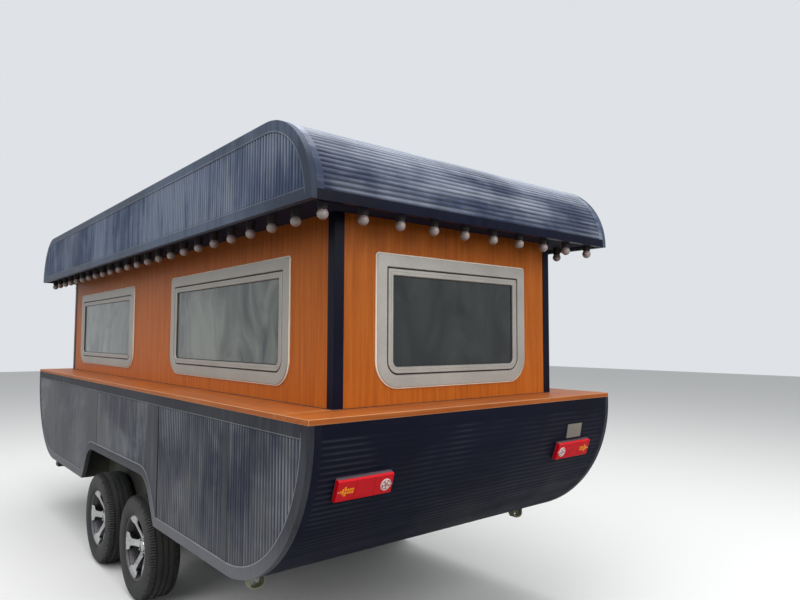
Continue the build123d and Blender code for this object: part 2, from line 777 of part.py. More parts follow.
def assemble():
    """Every node by name."""
    drawbar_pieces, jack_x = drawbar()
    nodes = {
        "coupler": coupler(),
        "jack": jack(jack_x),
        "floor": floor_panel(),
        "wheel_wells": wheel_wells(),
        "springs": springs(),
        "steadies": steadies(),
        "corner_posts": corner_posts(),
    }
    nodes.update(chassis())
    nodes.update(drawbar_pieces)
    nodes.update(hull_panels())
    nodes.update(counters())
    nodes.update(walls())
    nodes.update(roof())
    nodes.update(bulb_ring())
    nodes.update(rear_fittings())
    entry = door()
    nodes["wall_right"] = nodes["wall_right"] + entry.pop("head_pin")
    nodes.update(entry)
    frames = []
    for name, side, middle, width in windows:
        plane = window_plane(side, middle)
        frames.append(window_frame(plane, width))
        nodes[f"sash_{name}"] = sash(plane, width)
        nodes[f"glass_{name}"] = sash_glass(plane, width)
    nodes["window_frames"] = frames
    tyre, rim = tyre_solid(), rim_solid()
    for row, x in (("rear", axle_x - wheel_spacing / 2), ("front", axle_x + wheel_spacing / 2)):
        nodes[f"axle_{row}"] = axle(x)
        for side, way in (("left", 1), ("right", -1)):
            nodes[f"tyre_{row}_{side}"] = wheel(tyre, way, x)
            nodes[f"rim_{row}_{side}"] = wheel(rim, way, x)
    return nodes


os.makedirs("parts", exist_ok=True)
for name, shape in assemble().items():
    if isinstance(shape, list):
        shape = Compound(children=[piece for item in shape for piece in item.solids()])
    export_step(shape, f"parts/{name}.step")
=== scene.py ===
# Food trailer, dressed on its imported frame: ribbed painted sheet, cherry laminate, alloy windows,
# frosted bulbs, lamps, polished wheels and galvanised running gear. Metres, +X forward, +Y left;
# turned, swept and bolted details are given in millimetres.
import json
from math import asin, atan2, cos, hypot, pi, radians, sin, tan

import bmesh
import bpy
from mathutils import Matrix, Vector


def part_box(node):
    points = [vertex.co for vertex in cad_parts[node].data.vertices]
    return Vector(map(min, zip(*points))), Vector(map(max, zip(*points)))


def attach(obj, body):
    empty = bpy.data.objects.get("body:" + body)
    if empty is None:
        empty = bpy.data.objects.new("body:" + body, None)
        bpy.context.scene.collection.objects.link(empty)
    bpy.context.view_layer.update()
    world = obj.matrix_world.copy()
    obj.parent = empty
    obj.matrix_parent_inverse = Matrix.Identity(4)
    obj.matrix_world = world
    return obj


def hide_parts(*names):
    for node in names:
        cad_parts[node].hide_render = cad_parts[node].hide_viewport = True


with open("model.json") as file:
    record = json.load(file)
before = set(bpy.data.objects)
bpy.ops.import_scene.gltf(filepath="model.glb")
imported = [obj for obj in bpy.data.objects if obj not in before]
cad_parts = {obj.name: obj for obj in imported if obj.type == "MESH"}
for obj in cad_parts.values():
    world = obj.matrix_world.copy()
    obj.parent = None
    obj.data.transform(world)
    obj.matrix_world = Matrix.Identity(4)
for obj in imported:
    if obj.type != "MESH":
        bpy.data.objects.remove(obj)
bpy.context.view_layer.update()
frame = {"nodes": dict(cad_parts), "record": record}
nodes = frame["nodes"]
scene = bpy.context.scene
sideNames = {1: "left", -1: "right"}
shift = Matrix.Translation
print("frame loaded:", len(nodes), "nodes")


# Shader helpers; their owner is a material or the world

def linearColor(hexCode):  # sRGB hex to the linear values that the shader wants
    values = [int(hexCode[i:i + 2], 16) / 255 for i in (0, 2, 4)]
    return [v / 12.92 if v <= 0.04045 else ((v + 0.055) / 1.055) ** 2.4 for v in values] + [1.0]


def setInputs(owner, node, inputs):  # i0 is the first input; a socket is linked, a value is set
    for name, value in inputs.items():
        key = int(name[1:]) if name[0] == "i" and name[1:].isdigit() else name.replace("_", " ")
        if isinstance(value, bpy.types.NodeSocket):
            owner.node_tree.links.new(value, node.inputs[key])
        else:
            node.inputs[key].default_value = value


def addNode(owner, kind, settings=None, **inputs):
    node = owner.node_tree.nodes.new(kind)
    for name, value in (settings or {}).items():
        setattr(node, name, value)
    setInputs(owner, node, inputs)
    return node


def newMaterial(name):
    material = bpy.data.materials.new(name)
    material.use_nodes = True
    return material


def surface(material, **inputs):  # what the main shader gets
    setInputs(material, material.node_tree.nodes["Principled BSDF"], inputs)
    return material


def patternSpace(material, scale=(1, 1, 1)):  # metres on the piece
    place = addNode(material, "ShaderNodeTexCoord").outputs["Object"]
    return addNode(material, "ShaderNodeMapping", Vector=place, Scale=scale).outputs[0]


def noise(material, scale, detail, **inputs):  # soft clouds, so many to the metre on each axis
    inputs = {"Scale": 1.0, "Detail": detail, **inputs}
    space = patternSpace(material, scale)
    return addNode(material, "ShaderNodeTexNoise", Vector=space, **inputs).outputs[0]


def remap(owner, value, start, end, low, high):
    return addNode(owner, "ShaderNodeMapRange", Value=value, From_Min=start, From_Max=end,
                   To_Min=low, To_Max=high).outputs[0]


def worked(owner, operation, *values):  # the result of a sum
    inputs = {"i%d" % index: value for index, value in enumerate(values)}
    return addNode(owner, "ShaderNodeMath", {"operation": operation}, **inputs).outputs[0]


def mixTones(material, share, tone, other):
    return addNode(material, "ShaderNodeMix", {"data_type": "RGBA"}, i0=share, i6=tone,
                   i7=other).outputs[2]


def bumps(material, height, strength, distance):
    return addNode(material, "ShaderNodeBump", Height=height, Strength=strength,
                   Distance=distance).outputs[0]


def toneRamp(material, value, stops):  # a value becomes a run of colours
    ramp = addNode(material, "ShaderNodeValToRGB", Fac=value)
    while len(ramp.color_ramp.elements) < len(stops):
        ramp.color_ramp.elements.new(0.5)
    for element, (place, color) in zip(ramp.color_ramp.elements, stops):
        element.position = place
        element.color = linearColor(color)
    return ramp.outputs[0]


# Shapes shared by several pieces

bodyOf = {node: body for body, members in frame["record"]["behaviour"]["bodies"].items()
          for node in members}


def newPiece(name, bm, material, body="trailer", stands=None, smooth=35, edge=0.0, steps=2):
    mesh = bpy.data.meshes.new(name)
    bm.to_mesh(mesh)
    bm.free()
    mesh.materials.append(material)
    if smooth:
        mesh.shade_smooth()
        mesh.set_sharp_from_angle(angle=radians(smooth))
    piece = bpy.data.objects.new(name, mesh)
    scene.collection.objects.link(piece)
    if edge:  # a small round on each sharp edge, which catches the light
        softener = piece.modifiers.new("softEdges", "BEVEL")
        softener.width = edge
        softener.segments = steps
        softener.limit_method = "ANGLE"
        softener.angle_limit = radians(35)
        softener.harden_normals = True
    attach(piece, body)
    if stands:
        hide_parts(stands)
    return piece


def edgedCopy(node, material, edge, steps=2):  # a CAD node with its edges eased
    bm = bmesh.new()
    bm.from_mesh(nodes[node].data)
    bmesh.ops.remove_doubles(bm, verts=bm.verts, dist=1e-5)
    bmesh.ops.dissolve_limit(bm, angle_limit=radians(0.5), verts=bm.verts, edges=bm.edges)
    return newPiece(node + "_eased", bm, material, bodyOf[node], node, 35, edge, steps)


def finishNode(material, *names):  # a CAD node that keeps its shape and gets a better finish
    for name in names:
        data = nodes[name].data
        if data.materials:
            for index in range(len(data.materials)):
                data.materials[index] = material
        else:
            data.materials.append(material)


def insetPath(corners, inset, steps=10):  # corners (x, z, radius), anticlockwise, moved inwards
    lines = []
    for (x0, z0, _), (x1, z1, _) in zip(corners, corners[1:] + corners[:1]):
        along = Vector((x1 - x0, z1 - z0)).normalized()
        lines.append((Vector((x0, z0)) + Vector((-along.y, along.x)) * inset, along))
    path = []
    for index, (_, _, radius) in enumerate(corners):
        (p0, d0), (p1, d1) = lines[index - 1], lines[index]
        corner = p0 + d0 * ((p1 - p0).cross(d1) / d0.cross(d1))
        if not radius:
            path.append(tuple(corner))
            continue
        turn = 1 if d0.cross(d1) > 0 else -1
        rounding = max(radius - inset * turn, 0.003)
        angle = d0.angle(d1)
        start = corner - d0 * rounding * tan(angle / 2)
        centre = start + Vector((-d0.y, d0.x)) * turn * rounding
        for step in range(steps + 1):
            spoke = start - centre
            spoke.rotate(Matrix.Rotation(turn * angle * step / steps, 2))
            path.append(tuple(centre + spoke))
    return path


def spread(start, end, count):  # evenly spaced values, both ends included
    return [start + (end - start) * index / count for index in range(count + 1)]


def heightsAt(path, x):  # where an upright line at x enters and leaves the outline
    found = []
    for (x0, z0), (x1, z1) in zip(path, path[1:] + path[:1]):
        if min(x0, x1) <= x <= max(x0, x1) and x0 != x1:
            found.append(z0 + (z1 - z0) * (x - x0) / (x1 - x0))
    return min(found), max(found)


def sheetFromColumns(bm, columns, crests=None):  # a closed strip: columns of corners, in turn
    layer = bm.verts.layers.float.get("crest") or bm.verts.layers.float.new("crest")
    across, last = len(columns[0]), len(columns) - 1
    made = bmesh.ops.create_grid(bm, x_segments=last, y_segments=across, size=0.5)["verts"]
    for vert in made:
        index = round((vert.co.x + 0.5) * last)
        vert.co = columns[index][round((vert.co.y + 0.5) * across) % across]
        vert[layer] = crests[index] if crests else 1.0
    bmesh.ops.remove_doubles(bm, verts=made, dist=1e-6)
    bmesh.ops.holes_fill(bm, edges=[edge for edge in bm.edges if edge.is_boundary])
    bmesh.ops.recalc_face_normals(bm, faces=bm.faces)


def column(x, *corners):  # one section of a strip, across the trailer at x
    return [Vector((x, y, z)) for y, z in corners]


def oblong(x, y0, y1, z0, z1):
    return column(x, (y0, z0), (y1, z0), (y1, z1), (y0, z1))


def ringFromProfile(bm, corners, profile, place, steps=10):  # profile (inset, out) in mm, swept
    paths = [insetPath(corners, inset / 1000, steps) for inset, _ in profile]
    columns = [[place @ Vector((x, z, out / 1000)) for (x, z), (_, out) in zip(points, profile)]
               for points in zip(*paths)]
    sheetFromColumns(bm, columns + columns[:1])


def turned(bm, profile, steps, place=Matrix.Identity(4), closed=False):
    # profile (radius, along) in mm, spun about the local Z
    before = set(bm.verts)
    verts = [bm.verts.new((radius / 1000, 0, along / 1000)) for radius, along in profile]
    pairs = list(zip(verts, verts[1:])) + ([(verts[-1], verts[0])] if closed else [])
    edges = [bm.edges.new(pair) for pair in pairs]
    bmesh.ops.spin(bm, geom=verts + edges, cent=(0, 0, 0), axis=(0, 0, 1), angle=2 * pi,
                   steps=steps, use_merge=True, use_duplicate=False)
    spun = [vert for vert in bm.verts if vert not in before]
    bmesh.ops.remove_doubles(bm, verts=spun, dist=1e-6)
    bmesh.ops.transform(bm, matrix=place, verts=[vert for vert in spun if vert.is_valid])
    bmesh.ops.recalc_face_normals(bm, faces=bm.faces)


def peg(bm, place, foot, head, depth, segments=6):  # a nut, stud or hexagon head, in mm
    bmesh.ops.create_cone(bm, cap_ends=True, segments=segments, radius1=foot / 1000,
                          radius2=head / 1000, depth=depth / 1000, matrix=place)


def boxInto(bm, corner, other, place=Matrix.Identity(4)):  # a block between two corners
    middle = (Vector(corner) + Vector(other)) / 2
    size = [abs(b - a) for a, b in zip(corner, other)]
    bmesh.ops.create_cube(bm, size=1, matrix=place @ shift(middle) @ Matrix.Diagonal((*size, 1)))


def beadAlong(name, points, radius, material, closed=True):
    curve = bpy.data.curves.new(name, "CURVE")
    curve.dimensions = "3D"
    curve.bevel_depth = radius
    curve.bevel_resolution = 2
    curve.use_fill_caps = True
    line = curve.splines.new("POLY")
    line.points.add(len(points) - 1)
    for point, place in zip(line.points, points):
        point.co = (*place, 1)
    line.use_cyclic_u = closed
    curve.materials.append(material)
    bead = bpy.data.objects.new(name, curve)
    scene.collection.objects.link(bead)
    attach(bead, "trailer")


def turnX(degrees):
    return Matrix.Rotation(radians(degrees), 4, "X")


def turnZ(degrees):
    return Matrix.Rotation(radians(degrees), 4, "Z")


# Camera, stage and light

cameraSetup = {"place": (-5.315, 2.368, 1.6375), "yaw": -39.78, "pitch": 3.54, "roll": 0.2,
               "lens": 28.39}


def placeCamera(setup):
    yaw, pitch, roll = (radians(setup[key]) for key in ("yaw", "pitch", "roll"))
    ahead = Vector((cos(pitch) * cos(yaw), cos(pitch) * sin(yaw), sin(pitch)))
    level = ahead.cross(Vector((0, 0, 1))).normalized()
    upward = level.cross(ahead)
    across = level * cos(roll) + upward * sin(roll)
    above = upward * cos(roll) - level * sin(roll)
    data = bpy.data.cameras.new("photoCamera")
    data.lens = setup["lens"]
    data.sensor_width = 36
    data.sensor_fit = "HORIZONTAL"
    camera = bpy.data.objects.new("photoCamera", data)
    turn = Matrix((across, above, -ahead)).transposed().to_4x4()
    camera.matrix_world = shift(setup["place"]) @ turn
    scene.collection.objects.link(camera)
    scene.camera = camera


stageSetup = {"floorSize": 60, "floor": "dcdcda", "floorBounce": "5c5c59", "floorRough": 0.85,
              "sky": "dfe2e6", "horizonLight": 0.42, "zenithLight": 0.86}

lamps = [  # name, place, target, size, watts: broad soft boxes as on a cloudy day
    ("overheadBox", (-1.0, 1.0, 9.0), (-0.5, 0, 1), 10, 950),
    ("sideBox", (-4.0, 8.0, 6.0), (-0.6, 0, 1.2), 6, 300),
    ("rearBox", (-9.0, -1.0, 4.5), (-2.5, 0, 1.2), 5, 290),
]


def seenRays(owner):  # 1 for camera, mirror and glass rays, which see the pale surroundings
    rays = addNode(owner, "ShaderNodeLightPath").outputs
    seen = worked(owner, "MAXIMUM", rays["Is Camera Ray"], rays["Is Glossy Ray"])
    return worked(owner, "MAXIMUM", seen, rays["Is Transmission Ray"])


def buildStage(setup):
    mesh = bpy.data.meshes.new("floor_plane")
    bm = bmesh.new()
    bmesh.ops.create_grid(bm, x_segments=1, y_segments=1, size=setup["floorSize"] / 2)
    bm.to_mesh(mesh)
    bm.free()
    floor = bpy.data.objects.new("floor_plane", mesh)
    scene.collection.objects.link(floor)
    material = newMaterial("paleScreed")  # smooth pale screed: no pattern, soft shadow
    tone = mixTones(material, seenRays(material), linearColor(setup["floorBounce"]),
                    linearColor(setup["floor"]))
    mesh.materials.append(surface(material, Base_Color=tone, Roughness=setup["floorRough"]))
    world = bpy.data.worlds.new("cloudySky")
    world.use_nodes = True
    scene.world = world
    way = addNode(world, "ShaderNodeTexCoord").outputs["Generated"]
    rise = addNode(world, "ShaderNodeSeparateXYZ", Vector=way).outputs["Z"]
    # a cloudy sky is brightest overhead
    glow = remap(world, rise, 0, 1, setup["horizonLight"], setup["zenithLight"])
    strength = addNode(world, "ShaderNodeMix", Factor=seenRays(world), A=glow, B=1.0).outputs[0]
    setInputs(world, world.node_tree.nodes["Background"],
              {"Color": linearColor(setup["sky"]), "Strength": strength})
    for name, place, target, size, watts in lamps:
        data = bpy.data.lights.new(name, "AREA")
        data.shape = "SQUARE"
        data.size = size
        data.energy = watts
        lamp = bpy.data.objects.new(name, data)
        lamp.location = place
        turn = (Vector(target) - Vector(place)).to_track_quat("-Z", "Y")
        lamp.rotation_euler = turn.to_euler()
        scene.collection.objects.link(lamp)
    scene.view_settings.view_transform = "Standard"


placeCamera(cameraSetup)
buildStage(stageSetup)
print("camera, floor and light placed")


# Finishes

def paintedSheet(name, deep, pale, dustAndSheenColor, dustAmount, rough, grooveShade=1.0, dustAndSheenDrift=None, glints=0.0,
                 shine=0.14, streaks=(24, 24, 1.5)):
    # enamelled steel sheet: navy under a film of road dust that rain has drawn into streaks;
    # the grooves between ribs, and plain parts by their shade, are darkened: painted shade
    # with some dirt; along drift (axis, from, to, by) the paint turns to the dust colour: road
    # dust on the hull and trim, a painted sky reflection on the crown of the roof's ends;
    # in patches the crests carry pale lines: painted highlights (glints), partly wear
    material = newMaterial(name)
    cloud = noise(material, (1.6, 1.6, 1.3), 4, Roughness=0.55)
    tone = toneRamp(material, cloud, [(0.32, deep), (0.7, pale)])
    film = worked(material, "MULTIPLY", cloud, noise(material, streaks, 6, Roughness=0.65))
    cover = remap(material, film, 0.19, 0.34, 0, dustAmount)
    if dustAndSheenDrift:
        axis, start, end, amount = dustAndSheenDrift
        place = addNode(material, "ShaderNodeSeparateXYZ", Vector=patternSpace(material))
        # drift: more road dust on the hull and trim; on the roof's ends a painted sky reflection
        dustAndSheenShare = remap(material, place.outputs[axis], start, end, 0, amount)
        cover = worked(material, "ADD", cover, dustAndSheenShare)
    dustAndSheenTone = mixTones(material, cover, tone, linearColor(dustAndSheenColor))
    # painted shade: the crest attribute darkens the grooves, and plain parts by their shade
    crest = addNode(material, "ShaderNodeAttribute", {"attribute_name": "crest"}).outputs["Fac"]
    shaded = addNode(material, "ShaderNodeVectorMath", {"operation": "SCALE"}, i0=dustAndSheenTone,
                     Scale=remap(material, crest, 0, 1, grooveShade, 1)).outputs[0]
    # painted highlights: pale lines on the crests in noise patches, partly wear
    glintNoise = noise(material, (1.9, 1.9, 2.6), 3, Distortion=0.6)
    patch = remap(material, glintNoise, 0.5, 0.68, 0, glints)
    lines = worked(material, "MULTIPLY", patch, worked(material, "POWER", crest, 4))
    grain = noise(material, (260, 260, 260), 2)
    return surface(material, Base_Color=mixTones(material, lines, shaded, linearColor("a3a7ad")),
                   Roughness=remap(material, film, 0.15, 0.4, rough, min(rough + 0.3, 0.9)),
                   Normal=bumps(material, grain, 0.06, 0.0005), Specular_IOR_Level=shine)


def cherryLaminate(name, scale, tones):
    # cherry high-pressure laminate: printed grain under a satin skin, with long dark pores
    material = newMaterial(name)
    broad = noise(material, scale, 6, Roughness=0.62, Distortion=0.25)
    fine = noise(material, [value * 5 for value in scale], 3, Roughness=0.7)
    grain = worked(material, "MULTIPLY_ADD", fine, 0.35, broad)
    tone = toneRamp(material, grain, list(zip((0.42, 0.62, 0.76, 0.96), tones)))
    return surface(material, Base_Color=tone, Normal=bumps(material, fine, 0.06, 0.0004),
                   Roughness=0.45, Specular_IOR_Level=0.15)


def mottledMetal(name, low, high, roughLow, roughHigh, size, metallic=1.0):
    # bare or zinced metal: patches of slightly different grey and gloss, as the crystals lie
    material = newMaterial(name)
    patch = addNode(material, "ShaderNodeTexVoronoi", Vector=patternSpace(material),
                    Scale=1000 / size).outputs[0]
    mottle = worked(material, "MULTIPLY_ADD", patch, 0.4, noise(material, (6, 6, 6), 4))
    return surface(material, Base_Color=toneRamp(material, mottle, [(0.4, low), (0.85, high)]),
                   Roughness=remap(material, mottle, 0.35, 0.9, roughLow, roughHigh),
                   Metallic=metallic)


def mouldedFinish(name, low, high, rough, grit, depth=0.0003, shine=0.5):
    # moulded rubber or plastic: an even colour with a fine grit that softens its gloss
    material = newMaterial(name)
    fine = noise(material, (1, 1, 1), 3, Scale=1000 / grit)
    tone = toneRamp(material, noise(material, (5, 5, 5), 4), [(0.35, low), (0.7, high)])
    return surface(material, Base_Color=tone, Normal=bumps(material, fine, 0.25, depth),
                   Roughness=rough, Specular_IOR_Level=shine)


def lampPlastic(name, color, pitch):
    # coloured acrylic over a reflector: an even tone with a prism pattern inside
    material = newMaterial(name)
    prisms = addNode(material, "ShaderNodeTexVoronoi", {"distance": "CHEBYCHEV"},
                     Vector=patternSpace(material), Scale=1000 / pitch, Randomness=0.0).outputs[0]
    return surface(material, Base_Color=linearColor(color), Roughness=0.16, IOR=1.49,
                   Normal=bumps(material, prisms, 0.5, 0.001), Specular_IOR_Level=0.12)


def tintedGlass(name, low, high):
    # smoked acrylic pane: glossy, under a faint uneven film of dust that lifts its black
    material = newMaterial(name)
    cloud = noise(material, (3.6, 3.6, 2.4), 6, Distortion=1.4)
    return surface(material, Base_Color=toneRamp(material, cloud, [(0.32, low), (0.7, high)]),
                   Roughness=remap(material, cloud, 0.3, 0.8, 0.05, 0.16), IOR=1.49,
                   Transmission_Weight=0.1)


def frostedGlass(name, low, high):
    # frosted bulb: milky shell, greyed to a dim warm beige as painted shade under the dark eaves
    material = newMaterial(name)
    tone = toneRamp(material, noise(material, (40, 40, 40), 2), [(0.35, low), (0.7, high)])
    return surface(material, Base_Color=tone, Roughness=0.35)


hullPaint = paintedSheet("dusty_enamelled_sheet", "313544", "444958", "7b7c7f", 0.7, 0.5, 0.42,
                         ("X", -2.3, 1.9, 0.85), 0.75)
# the hull's ends get a much darker copy of the navy enamel: painted shade, with less dust
endShadePaint = paintedSheet("dark_enamelled_sheet_painted_shade", "080a19", "0f1225", "1c1f2c", 0.35, 0.45, 0.8,
                        None, 0.06, 0.06, (9, 0.8, 12))
roofPaint = paintedSheet("clean_enamelled_sheet", "36435e", "4f5f7b", "838d9e", 0.85, 0.42, 0.36,
                         None, 0.3)
# roof's ends: the drift on Z turns the crown pale, a painted sky reflection
roofEndSheenPaint = paintedSheet("glossy_enamelled_sheet_painted_sheen", "27314b", "445069", "a6adba", 0.6, 0.3, 0.3,
                            ("Z", 2.505, 2.57, 0.8), 0.15, 0.1, (9, 0.8, 12))
# a near-black copy of the roof's navy enamel for the upright fascia strip: painted shade
fasciaShadePaint = paintedSheet("navy_enamelled_fascia_painted_shade", "080a1b", "0d1024", "1e2338", 0.2, 0.3,
                           shine=0.06)
trimPaint = paintedSheet("enamelled_trim", "1f2027", "2a2b32", "6e6f74", 0.25, 0.45, 1.0,
                         ("Z", 0.88, 0.57, 0.85), shine=0.12)
roofTrimPaint = paintedSheet("enamelled_roof_trim", "27303f", "3a4558", "667081", 0.5, 0.38)
# the rolled beads along the borders get a paler copy of the trim enamel: painted highlight
beadHighlightPaint = paintedSheet("enamelled_bead_painted_highlight", "66686d", "7b7d82", "8b8c90", 0.6, 0.45)
roofBeadHighlightPaint = paintedSheet("enamelled_roof_bead_painted_highlight", "4b5564", "616b7b", "828b99", 0.6, 0.4)
postPaint = paintedSheet("enamelled_angle", "07071a", "0c0c20", "171828", 0.15, 0.25, shine=0.08)
boardTones = ("92491a", "a25621", "ad612d", "b87240")
wallLaminate = cherryLaminate("cherry_laminate_upright", (60, 60, 2.2),
                              ("954a10", "ad5915", "b7621c", "c06d29"))
sideBoardLaminate = cherryLaminate("cherry_laminate_lengthways", (2.2, 60, 60), boardTones)
endBoardLaminate = cherryLaminate("cherry_laminate_crossways", (60, 2.2, 60), boardTones)
# a paler laminate for the boards' eased edges and seams: painted highlight
arrisHighlightLaminate = mouldedFinish("cherry_laminate_edge_painted_highlight", "b57a4c", "c48a5c", 0.4, 2.0)
frameAlloy = mottledMetal("anodised_window_alloy", "9a968f", "a8a49d", 0.4, 0.52, 9, 0.4)
creamSealant = mouldedFinish("cream_sealant", "ece3d2", "f6efe1", 0.5, 1.5)
greySeal = mouldedFinish("grey_sash_seal", "3c3b39", "514f4c", 0.6, 1.0)
blackRubber = mouldedFinish("black_seal_rubber", "0e0f10", "17181a", 0.62, 0.8)
darkLining = mouldedFinish("dark_lining_board", "10101d", "1b1b29", 0.8, 3.0, shine=0.08)
wellLining = mouldedFinish("dusty_wheel_well_board", "22241e", "4c4e43", 0.8, 3.0)
galvanised = mottledMetal("hot_dip_galvanised_steel", "7e807a", "9a9c93", 0.38, 0.58, 14, 0.85)
steadyPaint = mouldedFinish("weathered_cream_paint", "8b8a70", "a9a88e", 0.6, 4.0)
blackSteel = mouldedFinish("black_powder_coat", "141517", "232528", 0.45, 1.2)
handleAlloy = mottledMetal("brushed_stainless", "9b9c9e", "b2b3b4", 0.22, 0.34, 3)
socketPlastic = mouldedFinish("bulb_socket_plastic", "231f20", "332e2f", 0.6, 1.0, shine=0.2)
tyreRubber = mouldedFinish("tyre_rubber", "1b1c1d", "353331", 0.78, 1.2, 0.0005)
wheelAlloy = mottledMetal("polished_wheel_alloy", "8d8f8f", "b4b5b4", 0.1, 0.2, 12)
# the recessed barrel and lip get a darker alloy: painted shade, partly a dark finish
shadedBarrelAlloy = mottledMetal("dark_wheel_barrel_alloy_painted_shade", "3d3a3c", "5f5d61", 0.4, 0.6, 10, 0.7)
lampBody = mouldedFinish("dark_lamp_housing", "4a3c42", "5d4e54", 0.5, 1.5)
reflexWhite = mouldedFinish("white_reflex_lens", "e2dad6", "f2ecea", 0.3, 2.0)
# the blank plate is painted a mid grey: painted shade under the counter
shadedPlateFinish = mouldedFinish("blank_plate_enamel_painted_shade", "706961", "7f786f", 0.5, 2.0)
redLens = lampPlastic("red_acrylic_lens", "d40c1c", 5)
amberLens = lampPlastic("amber_acrylic_lens", "f99a1c", 4)
clearLens = lampPlastic("clear_acrylic_lens", "b98080", 6)
sidePane = tintedGlass("hazed_acrylic_pane", "2a3433", "7e857d")
endPane = tintedGlass("smoked_acrylic_pane", "101616", "343937")
shadedBulbFinish = frostedGlass("frosted_bulb_glass_painted_shade", "968885", "a99b97")
print("finishes made:", len(bpy.data.materials))


# Hull and roof

ribSetup = {
    "pitch": 0.0262, "depth": 0.0045, "samples": 8, "base": 1.0415, "crest": 1.0487, "joint": -0.3,
    "cover": 1.0494, "coverShade": 0.25, "under": 0.0006, "corner": 24, "endHalf": 1.0199,
    "band": 0.034, "thick": 0.03
}
hullLow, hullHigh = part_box("hull_side_left")
roofLow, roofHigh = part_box("roof_side_left")
rearX, frontX = hullLow.x, hullHigh.x
middleX = (rearX + frontX) / 2
hullSetup = {
    "radius": 0.74, "border": 0.058, "topStrip": 0.055, "archMiddle": -0.613, "archFoot": 0.8375,
    "archCrown": 0.67, "archTop": 0.785, "archRadius": 0.2, "joints": (1.092, 1.5),
    "coverStrips": [(0.722, 0.785), (1.685, 1.87), (3.006, 3.308)], "doorGap": (0.428, 1.262)
}
roofSetup = {"radius": 0.4, "border": 0.052, "fascia": 0.045,
             "joints": (0.39, 1.01, 2.37)}
# gap: a thin black line inside each border's bead, a painted shadow under the border's lip
beadSetup = {"y": 1.0462, "bead": (-0.002, 0.0048), "gap": (0.0042, 0.0024),
             "stripGap": (-0.002, 1.0482, 0.0026)}


def hullOutline(setup):
    foot, crown, middle = setup["archFoot"], setup["archCrown"], setup["archMiddle"]
    low, top = hullLow.z, setup["archTop"]
    return [(rearX, low, setup["radius"]), (middle - foot, low, 0),
            (middle - crown, top, setup["archRadius"]), (middle + crown, top, setup["archRadius"]),
            (middle + foot, low, 0), (frontX, low, setup["radius"]), (frontX, hullHigh.z, 0),
            (rearX, hullHigh.z, 0)]


def roofOutline(setup):
    return [(rearX, roofLow.z, 0), (frontX, roofLow.z, 0), (frontX, roofHigh.z, setup["radius"]),
            (rearX, roofHigh.z, setup["radius"])]


def ribHeight(place):  # 0 in a valley, 1 on a crest
    return (0.5 - 0.5 * cos(2 * pi * place / ribSetup["pitch"])) ** 0.8


def sideSheet(bm, path, start, end, side, joints, cover=False):  # ribs or a flat cover strip
    step = ribSetup["pitch"] / ribSetup["samples"]
    count = max(1, round((end - start) / step))
    inner = side * ribSetup["base"]
    columns, crests = [], []
    for x in spread(start, end, count):
        low, high = heightsAt(path, x)
        height = ribHeight(x - rearX)
        if any(abs(x - rearX - joint) < 0.55 * step for joint in joints):
            height = ribSetup["joint"]
        outer = side * (ribSetup["crest"] - ribSetup["depth"] * (1 - height))
        if cover:
            outer = side * ribSetup["cover"]
        crests.append(ribSetup["coverShade"] if cover else height)
        columns.append(column(x, (inner, low), (inner, high), (outer, high), (outer, low)))
    sheetFromColumns(bm, columns, crests)


def runPoints(runs):  # lines and arcs in X and Z: place, outward direction, rib height, shade
    points, along = [], 0.0
    step = ribSetup["pitch"] / ribSetup["samples"]
    for kind, a, b, c, ribbed in runs:
        length = (Vector(b) - Vector(a)).length if kind == "line" else b * abs(c[1] - c[0])
        count = max(2, round(length / step))
        for share in spread(0, 1, count):
            if kind == "line":
                place, out = Vector(a).lerp(Vector(b), share), Vector(c)
            else:
                angle = c[0] + (c[1] - c[0]) * share
                out = Vector((cos(angle), sin(angle)))
                place = Vector(a) + out * b
            height = ribHeight(along + length * share) if ribbed else 1.0
            # unribbed points get shade 0, which the paint darkens like a groove: painted shade
            points.append((place, out, height, height if ribbed else 0.0))
        along = along + length if ribbed else 0.0
    return points


def crossSheet(bm, runs, y0, y1, plain=0.0, deep=1.0):
    columns, crests = [], []
    for place, out, height, shade in runPoints(runs):
        sunk = 0 if plain else deep * ribSetup["depth"] * (1 - height)
        outer = place - out * (ribSetup["under"] + sunk)
        inner = place - out * ribSetup["thick"]
        columns.append([Vector((at.x, y, at.y)) for at, y in ((outer, y0), (outer, y1), (inner, y1),
                                                              (inner, y0))])
        crests.append(plain or shade)
    sheetFromColumns(bm, columns, crests)


def endSheet(bm, runs, deep, bandShade):  # ribs between two plain bands
    wide = ribSetup["endHalf"]
    narrow = wide - ribSetup["band"]
    crossSheet(bm, runs, -narrow, narrow, deep=deep)
    for side in (1, -1):
        crossSheet(bm, runs, side * narrow, side * wide, plain=bandShade)


def flipEnd(bm):  # the same end at the front
    bmesh.ops.scale(bm, vec=(-1, 1, 1), verts=bm.verts)
    bmesh.ops.translate(bm, vec=(2 * middleX, 0, 0), verts=bm.verts)
    bmesh.ops.recalc_face_normals(bm, faces=bm.faces)


def borderRuns(path, gap):  # a closed outline, or its two runs where the door recess parts it
    if not gap:
        return [path]
    start, end = gap
    (low, high), (farLow, farHigh) = heightsAt(path, start), heightsAt(path, end)
    behind = [place for place in path[-1:] + path[:-1] if place[0] < start]
    ahead = [place for place in path if place[0] > end]
    return [[(start, high)] + behind + [(start, low)], [(end, farLow)] + ahead + [(end, farHigh)]]


def coverStrips(path, side, name):
    bm = bmesh.new()
    before, y, radius = beadSetup["stripGap"]
    for x0, x1 in hullSetup["coverStrips"]:
        sideSheet(bm, path, rearX + x0, rearX + x1, side, (), cover=True)
        x = rearX + x0 + before
        beadAlong("hull_strip_gap_%s_%d" % (name, 1000 * x0),
                  [(x, side * y, z) for z in heightsAt(path, x)], radius, blackRubber,
                  closed=False)
    newPiece("hull_cover_strips_" + name, bm, hullPaint, edge=0.001)


